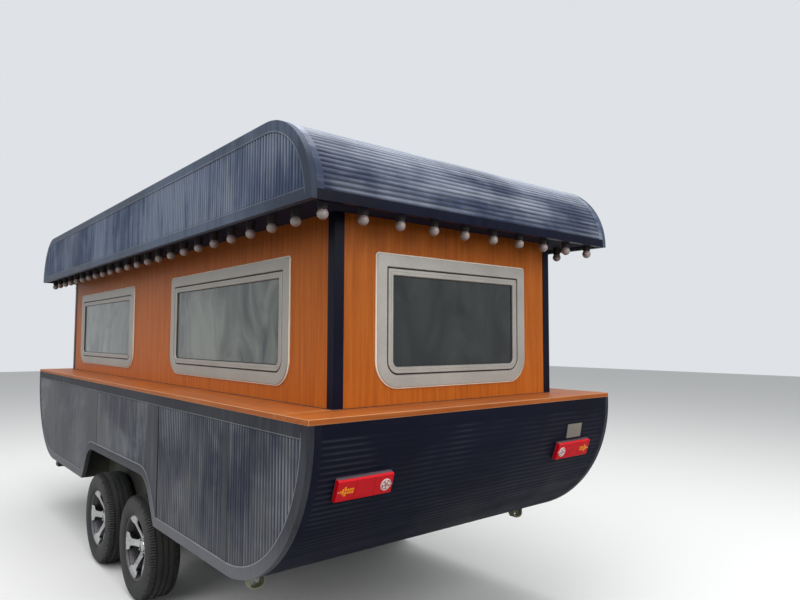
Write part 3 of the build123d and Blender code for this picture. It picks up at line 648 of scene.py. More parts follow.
def borderBeads(label, corners, border, gap, side, bead):
    # the pale bead is a painted highlight; the black gap line beside it is a painted shadow
    for kind, material in (("bead", bead), ("gap", blackRubber)):
        inset, radius = beadSetup[kind]
        path = insetPath(corners, border + inset, ribSetup["corner"])
        for index, run in enumerate(borderRuns(path, gap)):
            beadAlong("_".join((label, kind, sideNames[side], str(index))),
                      [(x, side * beadSetup["y"], z) for x, z in run], radius, material,
                      closed=not gap)


def buildSides():
    start, end = rearX + hullSetup["border"], frontX - hullSetup["border"]
    gapStart, gapEnd = hullSetup["doorGap"]
    spans = {1: [(start, end)], -1: [(start, gapStart), (gapEnd, end)]}
    hull, roof = hullOutline(hullSetup), roofOutline(roofSetup)
    hullInner = insetPath(hull, hullSetup["border"], ribSetup["corner"])
    roofInner = insetPath(roof, roofSetup["border"], ribSetup["corner"])
    inset = roofSetup["border"]
    for side, name in sideNames.items():
        ribs, roofRibs = bmesh.new(), bmesh.new()
        for x0, x1 in spans[side]:
            sideSheet(ribs, hullInner, x0, x1, side, hullSetup["joints"])
        newPiece("hull_ribs_" + name, ribs, hullPaint, stands="hull_skin_" + name)
        coverStrips(hullInner, side, name)
        edgedCopy("hull_side_" + name, trimPaint, 0.002)
        sideSheet(roofRibs, roofInner, rearX + inset, frontX - inset, side, roofSetup["joints"])
        newPiece("roof_ribs_" + name, roofRibs, roofPaint,
                 stands="roof_skins" if side == 1 else None)
        edgedCopy("roof_side_" + name, roofTrimPaint, 0.002)
        borderBeads("hull", hull, hullSetup["border"],
                    hullSetup["doorGap"] if side == -1 else None, side, beadHighlightPaint)
        borderBeads("roof", roof, inset, None, side, roofBeadHighlightPaint)


def buildEnds():
    radius, level = hullSetup["radius"], hullLow.z + hullSetup["radius"]
    centre = (rearX + radius, level)
    turn = pi + asin((level - hullHigh.z + hullSetup["topStrip"]) / radius)
    hullRuns = [("line", (rearX, hullHigh.z), (rearX, level), (-1, 0), False),
                ("arc", centre, radius, (pi, turn), False),
                ("arc", centre, radius, (turn, 1.5 * pi), True)]
    for end in ("rear", "front"):
        bm = bmesh.new()
        endSheet(bm, hullRuns, 0.35, 0.6)
        if end == "front":
            flipEnd(bm)
        newPiece("hull_end_sheet_" + end, bm, endShadePaint, stands="hull_end_" + end)
    radius = roofSetup["radius"]
    level = roofHigh.z - radius
    slope = asin((roofLow.z + roofSetup["fascia"] - level) / radius)
    rear, front = (rearX + radius, level), (frontX - radius, level)
    roofRuns = [("line", (rearX, roofLow.z), (rearX, level), (-1, 0), False),
                ("arc", rear, radius, (pi, pi - slope), False),
                ("arc", rear, radius, (pi - slope, pi / 2), True),
                ("line", (rear[0], roofHigh.z), (front[0], roofHigh.z), (0, 1), True),
                ("arc", front, radius, (pi / 2, slope), True),
                ("arc", front, radius, (slope, 0), False),
                ("line", (frontX, level), (frontX, roofLow.z), (1, 0), False)]
    bm = bmesh.new()
    endSheet(bm, roofRuns, 0.6, 0.9)
    roof = newPiece("roof_sheet", bm, roofEndSheenPaint, stands="roof_shell")
    roof.data.materials.append(fasciaShadePaint)
    for face in roof.data.polygons:
        if face.center.z < roofLow.z + roofSetup["fascia"]:
            face.material_index = 1


buildSides()
buildEnds()
print("hull and roof sheets made")


# Counter, cabin walls and posts

counterSetup = {"arris": 0.0025, "seamY": (0.78, 1.048), "seam": 0.0011, "top": 1.3197,
                "wallX": {"rear": -2.943, "front": 1.823}}


def buildCounters(setup):
    for side in ("left", "right", "rear", "front"):
        laminate = sideBoardLaminate if side in ("left", "right") else endBoardLaminate
        board = edgedCopy("counter_" + side, laminate, setup["arris"])
        # the eased edges take the paler laminate: a painted highlight along the arrises
        board.data.materials.append(arrisHighlightLaminate)
        board.modifiers["softEdges"].material = 1
    # pale beads along the seams between the boards: painted highlight
    for end, x in setup["wallX"].items():
        for side, name in sideNames.items():
            beadAlong("counter_seam_%s_%s" % (end, name),
                      [(x, side * y, setup["top"]) for y in setup["seamY"]], setup["seam"],
                      arrisHighlightLaminate, closed=False)


buildCounters(counterSetup)
finishNode(wallLaminate, "wall_left", "wall_right", "wall_rear", "wall_front")
edgedCopy("corner_posts", postPaint, 0.0012)
finishNode(darkLining, "ceiling", "floor")
finishNode(wellLining, "wheel_wells")
print("counter and cabin made")


# Windows: fixed frame, seal, sash, gasket and pane; profiles are (inset, out) in mm

windowSetup = {
    "sill": 1.403, "head": 2.047, "corner": 0.13, "upperCorner": 0.015, "wallY": 0.778,
    "wallX": -2.943, "sealant": 0.0058,
    "frame": [(0, 0), (0, 9), (2, 11.5), (57.5, 11.5), (60, 9), (60, -35), (40, -35), (40, 0)],
    "seal": [(59.5, -6), (65.5, -8), (65.5, -12), (59.5, -14)],
    "sash": [(67.5, -18), (67.5, 8), (69.5, 10), (81.5, 10), (82.2, 8.6), (84.6, 8.6), (85.3, 10),
        (96, 10), (99.5, 6.5), (99.5, -18)],
    "gasket": [(98.5, 4), (103.5, 1.5), (104.2, -1.2), (98.5, -1.2)]
}

windows = {  # name: side, middle along the wall, width
    "left_rear": ("left", -1.74, 1.615),
    "left_front": ("left", 0.707, 1.615),
    "rear": ("rear", 0.0, 1.08),
    "right_rear": ("right", -1.74, 1.615),
}


def wallPlace(side, middle, setup):  # local X along the wall, Y up, Z out of it
    at, along, out = {"left": ((middle, setup["wallY"], 0), (-1, 0, 0), (0, 1, 0)),
                      "right": ((middle, -setup["wallY"], 0), (1, 0, 0), (0, -1, 0)),
                      "rear": ((setup["wallX"], middle, 0), (0, -1, 0), (-1, 0, 0))}[side]
    return shift(at) @ Matrix((along, (0, 0, 1), out)).transposed().to_4x4()


def openingCorners(half, low, high, lowRadius=0, highRadius=0):
    return [(-half, low, lowRadius), (half, low, lowRadius), (half, high, highRadius),
            (-half, high, highRadius)]


def buildWindows(setup):
    frames, seals = bmesh.new(), bmesh.new()
    for name, (side, middle, width) in windows.items():
        place = wallPlace(side, middle, setup)
        corners = openingCorners(width / 2, setup["sill"], setup["head"], setup["corner"],
                                 setup["upperCorner"])
        sash, gasket = bmesh.new(), bmesh.new()
        for bm, part in ((frames, "frame"), (seals, "seal"), (sash, "sash"), (gasket, "gasket")):
            ringFromProfile(bm, corners, setup[part], place)
        body = "window_" + name
        newPiece("sash_ring_" + name, sash, frameAlloy, body, "sash_" + name)
        newPiece("pane_gasket_" + name, gasket, blackRubber, body)
        finishNode(endPane if side == "rear" else sidePane, "glass_" + name)
        line = [place @ Vector((x, z, 0.002)) for x, z in insetPath(corners, -0.0015)]
        beadAlong("sealant_" + name, line, setup["sealant"], creamSealant)
    newPiece("window_frame_rings", frames, frameAlloy, stands="window_frames")
    newPiece("window_seals", seals, greySeal)


buildWindows(windowSetup)
print("windows made")


# Bulbs and sockets under the eaves

bulbSetup = {
    "radius": 0.025, "level": 2.158, "sideY": 0.95, "endInset": 0.07, "along": 23, "across": 9,
    "holder": [(0, 18), (18.5, 18), (21.5, 21), (22.5, 28), (22.5, 30), (22.5, 54), (23, 56),
        (23, 60), (0, 60)]
}


def bulbPlaces(setup):
    x0, x1, y0 = rearX + setup["endInset"], frontX - setup["endInset"], setup["sideY"]
    places = [(x, side * y0) for x in spread(x0, x1, setup["along"]) for side in (1, -1)]
    return places + [(x, y) for y in spread(y0, -y0, setup["across"])[1:-1] for x in (x0, x1)]


def buildBulbs(setup):
    bulbs, sockets = bmesh.new(), bmesh.new()
    for x, y in bulbPlaces(setup):
        place = shift((x, y, setup["level"]))
        bmesh.ops.create_icosphere(bulbs, subdivisions=3, radius=setup["radius"], matrix=place)
        turned(sockets, setup["holder"], 14, place)
    newPiece("frosted_bulbs", bulbs, shadedBulbFinish, stands="bulbs")
    newPiece("bulb_holders", sockets, socketPlastic, stands="bulb_sockets")


buildBulbs(bulbSetup)
print("bulbs made")


# Wheels

wheelSetup = {
    "half": 97.2, "steps": 240, "y": 0.9625, "z": 0.32, "spokes": 5,
    "rows": {"rear": -1.125, "front": -0.275}, "notchEvery": 2, "notchFrom": 0.303,
    "notchSpan": (0.62, 0.93), "notchDeep": 0.0022, "notchIn": 0.0008,
    # the tyre's outline: radius in mm, share of the half width
    "outline": [(201.9, 0.7), (202.2, 0.87), (204, 0.905), (207.5, 0.912), (209.5, 0.935),
        (215, 0.955), (230, 0.99), (231.5, 0.982), (250, 1), (272, 0.995), (288, 0.965),
        (289.5, 0.98), (300, 0.945), (310.5, 0.865), (316, 0.76), (318.5, 0.6), (310.5, 0.585),
        (310.5, 0.5), (319, 0.485), (319.5, 0.23), (311, 0.215), (311, 0.125), (319.5, 0.11)],
    "barrel": [(179.2, -70), (195.2, -70), (199.7, -62), (197.7, 68), (188.7, 68), (184.7, 60),
        (182.2, 40), (179.7, 20), (175.7, -60)],
    "lip": [(188.2, 62), (198.7, 66), (201.2, 74), (201.2, 82.5), (199.6, 85), (196.2, 85.8),
        (192.7, 85.2), (191.2, 82.6), (190.2, 77.5), (187.2, 72.5)],
    "hub": [(21, 8), (56, 8), (62.5, 14), (64, 26), (62, 31), (57, 33.5), (46, 34.5), (38.5, 33),
        (37.2, 34.5), (36.5, 40), (33.5, 44), (28, 46.8), (0, 48), (0, 44), (20.5, 44)],
    # each spoke's sections in mm: radius, half width, front face, back face
    "spoke": [(46, 30, 33, 10), (62, 24.5, 37, 12), (80, 22.5, 44, 16), (102, 22, 53.5, 22),
        (124, 22.5, 62, 28), (140, 24.5, 67.5, 33), (149, 32, 70, 37), (154.5, 47, 71.5, 41),
        (160, 54.5, 73, 44), (172, 57.5, 77.5, 49), (187, 59, 83.5, 54), (191.5, 56, 85.5, 60)]
}


def wheelPlace(side, x, setup):
    turn = Matrix(((-side, 0, 0), (0, 0, 1), (0, side, 0))).transposed().to_4x4()
    return shift((x, side * setup["y"], setup["z"])) @ turn


def tyreMesh(setup):  # closed through the bead, with notches cut across both shoulders
    bm = bmesh.new()
    left = [(radius, share * setup["half"]) for radius, share in setup["outline"]]
    turned(bm, left + [(radius, -along) for radius, along in reversed(left)], setup["steps"],
           closed=True)
    notches = {}
    near, far = setup["notchSpan"]
    for face in bm.faces:
        centre = face.calc_center_median()
        radius, along = hypot(centre.x, centre.y), abs(centre.z) * 1000 / setup["half"]
        if radius > setup["notchFrom"] and near < along < far:
            step = int(((atan2(centre.y, centre.x) / (2 * pi)) % 1) * setup["steps"])
            step = (step + (1 if centre.z > 0 else 0)) % setup["steps"]
            if step % setup["notchEvery"] == 0:
                notches.setdefault((step, centre.z > 0), []).append(face)
    for faces in notches.values():
        for item in bmesh.ops.extrude_face_region(bm, geom=faces)["geom"]:
            if isinstance(item, bmesh.types.BMVert):
                out = Vector((item.co.x, item.co.y, 0)).normalized()
                inward = setup["notchIn"] if item.co.z > 0 else -setup["notchIn"]
                item.co -= out * setup["notchDeep"] + Vector((0, 0, inward))
    bmesh.ops.recalc_face_normals(bm, faces=bm.faces)
    return bm


def barrelMesh(setup):
    bm = bmesh.new()
    turned(bm, setup["barrel"], 96, closed=True)
    turned(bm, setup["lip"], 120, closed=True)
    return bm


def rimMesh(setup):
    bm = bmesh.new()
    turned(bm, setup["hub"], 60, closed=True)
    share = 360 / setup["spokes"]
    for index in range(setup["spokes"]):
        turn = turnZ(share * (index + 0.5))
        columns = []
        for radius, half, front, back in setup["spoke"]:
            dish = front - 3 * min(1, half / 30)
            columns.append([turn @ (Vector((radius, *corner)) / 1000) for corner in (
                (-half, front), (-half * 0.5, dish), (half * 0.5, dish), (half, front),
                (half, back), (-half, back))])
        sheetFromColumns(bm, columns)
        peg(bm, turnZ(share * (index + 1)) @ shift((0.0505, 0, 0.0385)), 8.5, 7.8, 14)
        peg(bm, turn @ shift((0.17, 0.047, 0.0755)), 3.6, 2.8, 4, 16)
    bmesh.ops.recalc_face_normals(bm, faces=bm.faces)
    return bm


def buildWheels(setup):
    shapes = [("tyre", "tyre_detail_", tyreMesh(setup), tyreRubber, "tyre", 0),
              ("rim", "rim_detail_", rimMesh(setup), wheelAlloy, "polished_alloy", 0.0022),
              (None, "rim_barrel_", barrelMesh(setup), shadedBarrelAlloy, "polished_alloy", 0.0012)]
    for row, x in setup["rows"].items():
        for side, label in sideNames.items():
            place, tag = wheelPlace(side, x, setup), row + "_" + label
            for kind, name, shape, material, slot, edge in shapes:
                bm = shape.copy()
                bmesh.ops.transform(bm, matrix=place, verts=bm.verts)
                newPiece(name + tag, bm, material, "wheel_" + tag,
                         kind and kind + "_" + tag, 30, edge)
    for shape in shapes:
        shape[2].free()


buildWheels(wheelSetup)
print("wheels made")


# Tail lamps and bare plate

lampSetup = {
    "level": 1.022, "length": 0.29, "height": 0.0895, "high": 0.0285, "cuts": (0, 0.096, 0.19, 0.29),
    # local X runs to the right as seen from behind, so -1 is the left lamp
    "outers": {-1: 0.902, 1: 0.856},
    "flute": 0.0062, "waveSteps": 6, "wave": 0.0008, "gap": 0.0006, "screws": (0.0075, 0.2845),
    "round": 0.252, "studs": 5, "studReach": 0.0145,
    # the arrow's amber beads: mm from the outer end, mm up
    "arrow": [(19, 0), (30, 8), (30, -8), (41, 16), (41, -16), (31, 0), (43, 6.5), (43, -6.5),
        (55, 6.5), (55, -6.5), (67, 6.5), (67, -6.5), (79, 6.5), (79, -6.5)]
}


def hullEndPlace(level):  # local X to the right as seen from behind, Y up the sheet, Z outward
    radius = hullSetup["radius"]
    centreZ = hullLow.z + radius
    angle = asin((centreZ - level) / radius)
    reach = radius - 0.001
    at = (rearX + radius - reach * cos(angle), 0, centreZ - reach * sin(angle))
    axes = Matrix(((0, -1, 0), (-sin(angle), 0, cos(angle)), (-cos(angle), 0, -sin(angle))))
    return shift(at) @ axes.transposed().to_4x4()


def flutedLens(bm, place, outer, side, start, end, setup):
    tall, waveSteps = setup["height"] / 2, setup["waveSteps"]
    count = round((end - start) / setup["flute"]) * waveSteps
    columns = []
    for index, along in enumerate(spread(start + setup["gap"], end - setup["gap"], count)):
        top = setup["high"] - 0.002 + setup["wave"] * cos(2 * pi * index / waveSteps)
        columns.append([place @ Vector((outer - side * along, y, z)) for y, z in (
            (-tall - 0.003, 0.004), (tall + 0.005, 0.004), (tall + 0.005, top - 0.006),
            (tall, top), (-tall + 0.002, top), (-tall - 0.003, top - 0.006))])
    sheetFromColumns(bm, columns)


def buildLamps(setup):
    place = hullEndPlace(setup["level"])
    red, amber, clear, screws, trays, rings = (bmesh.new() for _ in range(6))
    tall, length, high = setup["height"] / 2, setup["length"], setup["high"]
    for side in (1, -1):
        outer = side * setup["outers"][side]
        boxInto(trays, (outer - side * 0.002, -tall, -0.004),
                (outer - side * (length - 0.002), tall + 0.0075, 0.0165), place)
        for start, end in zip(setup["cuts"], setup["cuts"][1:]):
            flutedLens(red, place, outer, side, start, end, setup)
        for x, y in setup["arrow"]:
            at = place @ shift((outer - side * x / 1000, y / 1000, high - 0.0018))
            turned(amber, [(0, 1.6), (4.2, 1.2), (6, 0), (0, 0)], 14, at, closed=True)
        at = place @ shift((outer - side * setup["round"], 0, high - 0.0035))
        turned(clear, [(24, 0), (24, 3.6), (22.5, 4.4), (15, 5.2), (0, 5.6), (0, 0)], 40, at,
               closed=True)
        turned(rings, [(24, 0), (27, 0), (27, 4), (25.5, 5.6), (24, 4.8)], 40, at, closed=True)
        for index in range(setup["studs"]):
            spot = at @ turnZ(360 / setup["studs"] * index + 18) @ shift((setup["studReach"], 0, 0))
            turned(rings, [(0, 7), (4.2, 6.4), (6.2, 4.6), (0, 4.6)], 12, spot, closed=True)
        for x in setup["screws"]:
            at = place @ shift((outer - side * x, 0, high - 0.0016))
            turned(screws, [(0, 1.4), (2.2, 1), (3.4, -0.8), (0, -0.8)], 12, at, closed=True)
    newPiece("tail_lamp_trays", trays, lampBody, stands="lamp_housings", edge=0.003)
    newPiece("tail_lamp_lenses", red, redLens, stands="lamp_lenses", edge=0.0012)
    newPiece("tail_lamp_arrows", amber, amberLens)
    newPiece("tail_lamp_round_lenses", clear, clearLens)
    newPiece("tail_lamp_bright_rings", rings, reflexWhite)
    newPiece("tail_lamp_screws", screws, handleAlloy)
    edgedCopy("number_plate", shadedPlateFinish, 0.0012)


buildLamps(lampSetup)
print("lamps made")


# Door and its recess

doorSetup = {
    "rear": 0.495, "front": 1.195, "low": 0.594, "head": 2.05, "stile": 0.08, "paneHead": 1.94,
    "pivotX": 1.187, "pivotY": -0.77, "hinges": (0.72, 1.32, 1.93), "handleX": 0.565,
    "feet": (1.261, 1.109), "lock": 1.02,
    "trim": [(26, -1), (26, 1.6), (27.5, 2.6), (44.5, 2.6), (46, 1.6), (46, -1)],
    "paneTrim": [(-20, -2), (-20, 3.5), (-16, 6), (3, 6), (7, 3), (7, -14), (3, -14), (3, -2)],
    "paneGasket": [(5, -9), (11.5, -11.5), (11.5, -15), (5, -15)],
    "knuckle": [(0, -52), (8.5, -52), (10.5, -49), (10.5, -18), (9.6, -17), (10.5, -16),
        (10.5, 16), (9.6, 17), (10.5, 18), (10.5, 49), (8.5, 52), (0, 52)]
}
stepSetup = {"x": (0.49, 1.2), "y": (-1.012, -0.787), "low": 0.5845, "flat": 0.5855,
             "rib": 0.0022, "samples": 96}


def buildDoor(setup):
    edgedCopy("door_leaf", wallLaminate, 0.002)
    edgedCopy("door_handle", handleAlloy, 0.006, steps=4)
    edgedCopy("door_well", darkLining, 0.0015)
    finishNode(sidePane, "door_glass")
    middle, half = (setup["rear"] + setup["front"]) / 2, (setup["front"] - setup["rear"]) / 2
    place = wallPlace("right", middle, windowSetup)
    leaf = openingCorners(half, setup["low"], setup["head"])
    pane = openingCorners(half - setup["stile"], windowSetup["sill"], setup["paneHead"],
                          windowSetup["corner"], windowSetup["upperCorner"])
    trims, gasket, metal = bmesh.new(), bmesh.new(), bmesh.new()
    ringFromProfile(trims, leaf, setup["trim"], place)
    ringFromProfile(trims, pane, setup["paneTrim"], place)
    newPiece("door_alloy_trims", trims, frameAlloy, "door")
    ringFromProfile(gasket, pane, setup["paneGasket"], place)
    newPiece("door_pane_gasket", gasket, blackRubber, "door")
    for level in setup["hinges"]:
        turned(metal, setup["knuckle"], 20, shift((setup["pivotX"], setup["pivotY"], level)))
    for level in setup["feet"]:  # roses under the handle's feet
        turned(metal, [(0, 0), (19, 0), (19, 3), (16, 4.5), (0, 4.5)], 24,
               place @ shift((setup["handleX"] - middle, level, 0)))
    turned(metal, [(0, 0), (17, 0), (17, 3), (13.5, 5), (8.5, 5), (8, 3.5), (0, 3.5)], 24,
           place @ shift((setup["handleX"] - middle, setup["lock"], 0)))
    newPiece("door_hinges_and_lock", metal, handleAlloy, "door")


def buildStep(setup):
    bm, columns = bmesh.new(), []
    (x0, x1), low = setup["x"], setup["low"]
    for index, y in enumerate(spread(*setup["y"], setup["samples"])):
        rise = setup["flat"] + setup["rib"] * (index % 8 in (2, 3, 4, 5))
        columns.append([Vector(at) for at in ((x0, y, low), (x1, y, low), (x1, y, rise),
                                              (x0, y, rise))])
    sheetFromColumns(bm, columns)
    newPiece("step_rubber_tread", bm, blackRubber, smooth=0)


buildDoor(doorSetup)
buildStep(stepSetup)
jointSetup = {"radius": 0.0026, "level": 1.3203,  # round the cabin's foot, from jamb to jamb
              "run": [(1.2055, -0.7835), (1.8285, -0.7835), (1.8285, 0.7835),
                      (-2.9485, 0.7835), (-2.9485, -0.7835), (0.4845, -0.7835)]}
beadAlong("counter_joint_sealant", [(x, y, jointSetup["level"]) for x, y in jointSetup["run"]],
          jointSetup["radius"], blackRubber, closed=False)
print("door made")


# Running gear, drawbar, coupler, jack and steadies

gearSetup = {
    "springY": 0.56, "seat": 0.345, "eye": 0.396, "railLow": 0.445, "reach": 0.31, "middle": -0.7,
    "spacing": 0.85, "leafHalf": 0.022, "drumFace": 0.968,
    # each leaf: share of the reach, lift, thickness
    "leaves": ((0.42, 0, 0.005), (0.72, 0.0052, 0.005), (1.0, 0.0104, 0.0056)),
    "clamps": ((0.2885, 0.295), (0.3615, 0.368)), "legs": (0.033, 0.029, 0.328, 0.284),
    "clampHalf": (0.05, 0.04), "rocker": 0.398, "rockerY": 0.009, "rockerHalf": 0.003,
    # a hanger: half its length, the place and half thickness of its cheeks, its head's thickness
    "hanger": (0.021, 0.024, 0.0025, 0.006), "axle": (0.025, 0.815, 0.295, 0.345),
    "drum": [(0, 0), (40, 0), (44, -3), (98, -3), (108, -6), (113.5, -12), (115, -18), (112, -21),
        (115, -24), (115, -48), (114.8, -60), (30, -60), (28, -154), (0, -154)],
    "stub": [(0, 41), (16.5, 41), (19.6, 38), (19.6, -184), (0, -184)]
}


def bolt(bm, place, radius, grip):  # mm; a hexagon head, a washer and a nut about the grip
    half, wide, thin = grip / 2, radius * 1.25, radius * 0.5
    for way in (1, -1):
        peg(bm, place @ shift((0, 0, way * (half + radius * 0.45) / 1000)), radius, radius,
            radius * 0.9)
    turned(bm, [(0, -half - 1), (wide, -half - 1), (wide, -half), (thin, -half), (thin, half),
                (wide, half), (wide, half + 1), (0, half + 1)], 16, place)


def oneSpring(leaves, brackets, x0, y, setup):
    half, rise = setup["leafHalf"], setup["eye"] - 0.012 - setup["seat"]
    for share, lift, thick in setup["leaves"]:
        columns = []
        for along in spread(-share, share, 24):
            z = setup["seat"] + rise * along ** 2 + lift
            columns.append(oblong(x0 + setup["reach"] * along, y - half, y + half, z, z + thick))
        sheetFromColumns(leaves, columns)
    legX, legY, legZ, nutZ = setup["legs"]
    for way in (1, -1):
        eye = shift((x0 + way * setup["reach"], y, setup["eye"])) @ turnX(90)
        turned(leaves, [(7.5, -22), (14, -22), (14, 22), (7.5, 22)], 20, eye, closed=True)
        for inset in (-legY, legY):  # U-bolt legs down to the clamp plate
            turned(brackets, [(0, -48), (5.2, -48), (5.2, 46), (0, 50)], 12,
                   shift((x0 + way * legX, y + inset, legZ)))
            peg(brackets, shift((x0 + way * legX, y + inset, nutZ)), 9.5, 9.5, 9)
    long, wide = setup["clampHalf"]
    for low, high in setup["clamps"]:
        boxInto(brackets, (x0 - long, y - wide, low), (x0 + long, y + wide, high))


def buildSprings(setup):
    leaves, brackets = bmesh.new(), bmesh.new()
    middle, eye, rail = setup["middle"], setup["eye"], setup["railLow"]
    half, (long, out, thin, head) = setup["spacing"] / 2, setup["hanger"]
    far, gap = half + setup["reach"], half - setup["reach"]
    for side in (1, -1):
        y = side * setup["springY"]
        for x0 in (middle - half, middle + half):
            oneSpring(leaves, brackets, x0, y, setup)
        for x in (middle - far, middle, middle + far):
            for way in (1, -1):
                cheek = y + way * out
                boxInto(brackets, (x - long, cheek - thin, eye - long),
                        (x + long, cheek + thin, rail))
            boxInto(brackets, (x - long, y - out, rail - head), (x + long, y + out, rail))
            bolt(brackets, shift((x, y, eye)) @ turnX(90), 10.5, 53)
        for way in (1, -1):  # the rocker that joins the two springs
            plate, level = y + way * setup["rockerY"], setup["rocker"]
            inner, outer = plate - setup["rockerHalf"], plate + setup["rockerHalf"]
            columns = [oblong(middle + dx, inner, outer, level + dz,
                              level + 0.0055 - dz * 0.3)
                       for dx, dz in ((-gap - 0.005, 0), (-gap * 0.5, -0.014), (0, -0.017),
                                      (gap * 0.5, -0.014), (gap + 0.005, 0))]
            sheetFromColumns(brackets, columns)
    newPiece("leaf_springs", leaves, blackSteel, stands="springs", edge=0.0008)
    newPiece("spring_hangers_and_clamps", brackets, galvanised, edge=0.0008)


def buildAxles(setup):
    halfX, halfY, low, high = setup["axle"]
    for row, x in wheelSetup["rows"].items():
        bm = bmesh.new()
        boxInto(bm, (x - halfX, -halfY, low), (x + halfX, halfY, high))
        for side in (1, -1):
            place = shift((x, side * setup["drumFace"], wheelSetup["z"])) @ turnX(-90 * side)
            turned(bm, setup["drum"], 48, place)
            turned(bm, setup["stub"], 24, place)
        newPiece("axle_and_drums_" + row, bm, blackSteel, stands="axle_" + row,
                 edge=0.0015)


mudguardSetup = {
    "y": (0.8385, 0.8445), "top": 0.6,
    "line": ((-1.44, 0.52), (-1.4, 0.455), (-1.36, 0.425), (-0.66, 0.425), (0.134, 0.425),
        (0.174, 0.455), (0.214, 0.52))
}


def buildMudguards(setup):  # inner ones, which hang from the wheel wells beside the tyres
    bm = bmesh.new()
    for side in (1, -1):
        inner, outer = sorted(side * y for y in setup["y"])
        sheetFromColumns(bm, [oblong(x, inner, outer, low, setup["top"])
                              for x, low in setup["line"]])
    newPiece("inner_mudguards", bm, wellLining, edge=0.001)


steadySetup = {
    "rearX": -2.565, "y": 0.94, "long": 0.046, "hollow": 5, "inner": 0.86, "bolt": (0.235, 0.5),
    # boxes: x from and to, y from and to, z from and to, all but z from the foot's place
    "leg": [(0.02, 0.262, -0.017, -0.013, 0.4885, 0.513),
        (0.02, 0.262, 0.013, 0.017, 0.4885, 0.513), (0.02, 0.262, -0.017, 0.017, 0.509, 0.513),
        (0.16, 0.285, -0.029, 0.029, 0.513, 0.5248)],
    "pad": [(0.01, -0.085, -0.042, 0.042, 0.425, 0.463), (0.006, -0.02, -0.02, 0.02, 0.46, 0.49)],
    # half of a foot's bowl: mm from its middle, mm above the ground
    "bowl": [(0, 469.625), (14.175, 470.25), (24.975, 472.75), (33.075, 477.75), (38.475, 485.25),
        (40.5, 494.625), (40.5, 521.5)]
}


def buildSteadies(setup):
    feet, legs, pads = bmesh.new(), bmesh.new(), bmesh.new()
    bowl = [(-y, z) for y, z in reversed(setup["bowl"][1:])] + setup["bowl"]
    for end in (1, -1):
        for side in (1, -1):
            x0 = setup["rearX"] if end > 0 else 2 * middleX - setup["rearX"]
            x1, y0 = x0 + end * setup["long"], side * setup["y"]
            columns = []
            for y, z in bowl:
                outerY, innerY = y0 + y / 1000, y0 + y * setup["inner"] / 1000
                innerZ = (z + (setup["hollow"] if abs(y) < 38 else 0)) / 1000
                columns.append([Vector((x0, outerY, z / 1000)), Vector((x1, outerY, z / 1000)),
                                Vector((x1, innerY, innerZ)), Vector((x0, innerY, innerZ))])
            sheetFromColumns(feet, columns)
            # a black rubber pad hangs under each foot of the front pair; its black is partly painted
            # shade
            for bm, boxes in ((legs, setup["leg"]), (pads, setup["pad"] if end < 0 else ())):
                for near, far, left, right, low, high in boxes:
                    boxInto(bm, (x0 + end * near, y0 + left, low),
                            (x0 + end * far, y0 + right, high))
            reach, level = setup["bolt"]
            bolt(legs, shift((x0 + end * reach, y0, level)) @ turnX(90), 7, 36)
    newPiece("steady_feet", feet, steadyPaint, stands="steadies", edge=0.001)
    newPiece("steady_legs", legs, galvanised, edge=0.001)
    newPiece("steady_pads", pads, blackRubber, edge=0.006, steps=3)


couplerSetup = {
    "ballX": 3.125, "low": 0.5255, "nutX": (2.765, 2.875), "nutY": (-0.015, 0.015),
    "nutZ": 0.5735, "washerZ": 0.5675,
    "head": [(25.5, 470), (25.5, 502), (21.5, 506), (0, 506), (0, 579), (20, 578.5), (30, 575),
        (35, 570), (39, 564), (45, 556), (48, 544), (48.5, 490), (50, 478), (49.5, 470.5),
        (46, 470)],
    # sections of the neck: x, half width, top
    "neck": [(2.735, 0.032, 0.569), (2.9, 0.032, 0.569), (2.96, 0.03, 0.5675), (3.02, 0.03, 0.565),
        (3.075, 0.034, 0.564), (3.11, 0.038, 0.56)],
    # sections of the lever: x, height, half width
    "lever": [(3.11, 0.574, 0.01), (3.085, 0.583, 0.0105), (3.06, 0.5915, 0.011),
        (3.03, 0.596, 0.0115), (2.99, 0.597, 0.012), (2.95, 0.5955, 0.012), (2.93, 0.5925, 0.0105)]
}


def buildCoupler(setup):
    bm, low = bmesh.new(), setup["low"]
    turned(bm, setup["head"], 40, shift((setup["ballX"], 0, 0)))
    sheetFromColumns(bm, [column(x, (-half, low), (half, low), (half, top - 0.01),
                                 (half - 0.01, top), (0.01 - half, top), (-half, top - 0.01))
                          for x, half, top in setup["neck"]])
    newPiece("coupler_casting", bm, blackSteel, stands="coupler", edge=0.0015)
    bm = bmesh.new()
    sheetFromColumns(bm, [column(x, (-half, level - 0.004), (half, level - 0.004),
                                 (half * 0.8, level + 0.004), (-half * 0.8, level + 0.004))
                          for x, level, half in setup["lever"]])
    for x in setup["nutX"]:
        for y in setup["nutY"]:
            peg(bm, shift((x, y, setup["nutZ"])), 9.5, 9.2, 10)
            turned(bm, [(0, 0), (12.5, 0), (12.5, 2.2), (0, 2.2)], 20,
                   shift((x, y, setup["washerZ"])))
    newPiece("coupler_lever_and_bolts", bm, galvanised, edge=0.0012)


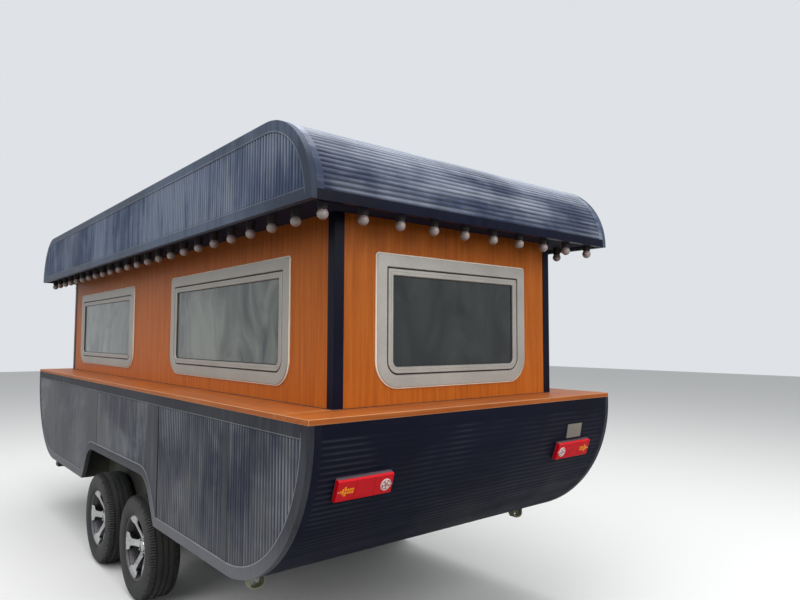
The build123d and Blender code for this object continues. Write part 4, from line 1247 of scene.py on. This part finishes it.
jackSetup = {
    "x": 2.605, "foot": 0.07, "footCorner": 0.012, "pins": (0.12, 0.2, 0.28), "knobReach": 0.14,
    "sleeve": [(24.5, 375), (29, 375), (30, 378), (30, 805), (32, 807), (32, 816.5), (35, 819),
        (36, 822.5), (35.5, 833), (32, 839.5), (24, 843), (11, 844), (11, 866), (0, 867), (0, 810),
        (24.5, 810)],
    "collar": [(30.1, 525.5), (44, 525.5), (44, 532), (40, 535), (30.1, 535)],
    "leg": [(0, 8), (23.5, 8), (24, 10.5), (24, 394), (0, 394)],
    "weld": [(0, 10), (23.5, 10), (33, 8.5), (34, 7.5), (0, 7.5)],
    "plate": [(0, 0), (0, 4.5), (3.5, 8), (7.5, 8), (11, 4.5), (60, 4.5), (60, 0)],
    "crank": [(-0.01, 0.867), (0.02, 0.867), (0.04, 0.87), (0.11, 0.87), (0.148, 0.87)],
    "knob": [(0, 872), (8.5, 872), (11.5, 876), (13, 886), (11.8, 898), (12.5, 912), (12, 922),
        (8.5, 929), (0, 930)]
}


def buildJack(setup):
    x, half, corner, steel = setup["x"], setup["foot"], setup["footCorner"], bmesh.new()
    place = shift((x, 0, 0))
    turned(steel, setup["sleeve"], 40, place, closed=True)
    turned(steel, setup["collar"], 40, place, closed=True)
    turned(steel, setup["leg"], 32, place)
    for level in setup["pins"]:
        turned(steel, [(0, -24.8), (5.5, -24.8), (5.5, 24.8), (0, 24.8)], 14,
               shift((x, 0, level)) @ turnX(90))
    turned(steel, setup["weld"], 32, place)
    square = [(x + dx * half, dy * half, corner) for dx, dy in ((-1, -1), (1, -1), (1, 1), (-1, 1))]
    ringFromProfile(steel, square, setup["plate"], Matrix.Identity(4), 6)
    newPiece("jack_tubes_and_foot", steel, galvanised, stands="jack", edge=0.0006)
    bm = bmesh.new()
    sheetFromColumns(bm, [oblong(x + dx, -0.007, 0.007, z - 0.003, z + 0.003)
                          for dx, z in setup["crank"]])
    turned(bm, setup["knob"], 24, shift((x + setup["knobReach"], 0, 0)))
    newPiece("jack_crank", bm, blackSteel, edge=0.0012)


outriggers = {"beyond": 1.0, "below": 0.47, "tip": 0.507}  # they taper towards the sides


def buildFrame():
    for name in ("chassis_rails", "cross_members", "drawbar_members", "drawbar_plates"):
        bar = edgedCopy(name, galvanised, 0.004, steps=3)
        if name == "cross_members":
            for vert in bar.data.vertices:
                if abs(vert.co.y) > outriggers["beyond"] and vert.co.z < outriggers["below"]:
                    vert.co.z = outriggers["tip"]


buildSprings(gearSetup)
buildAxles(gearSetup)
buildMudguards(mudguardSetup)
buildSteadies(steadySetup)
buildCoupler(couplerSetup)
buildJack(jackSetup)
buildFrame()
print("running gear made")
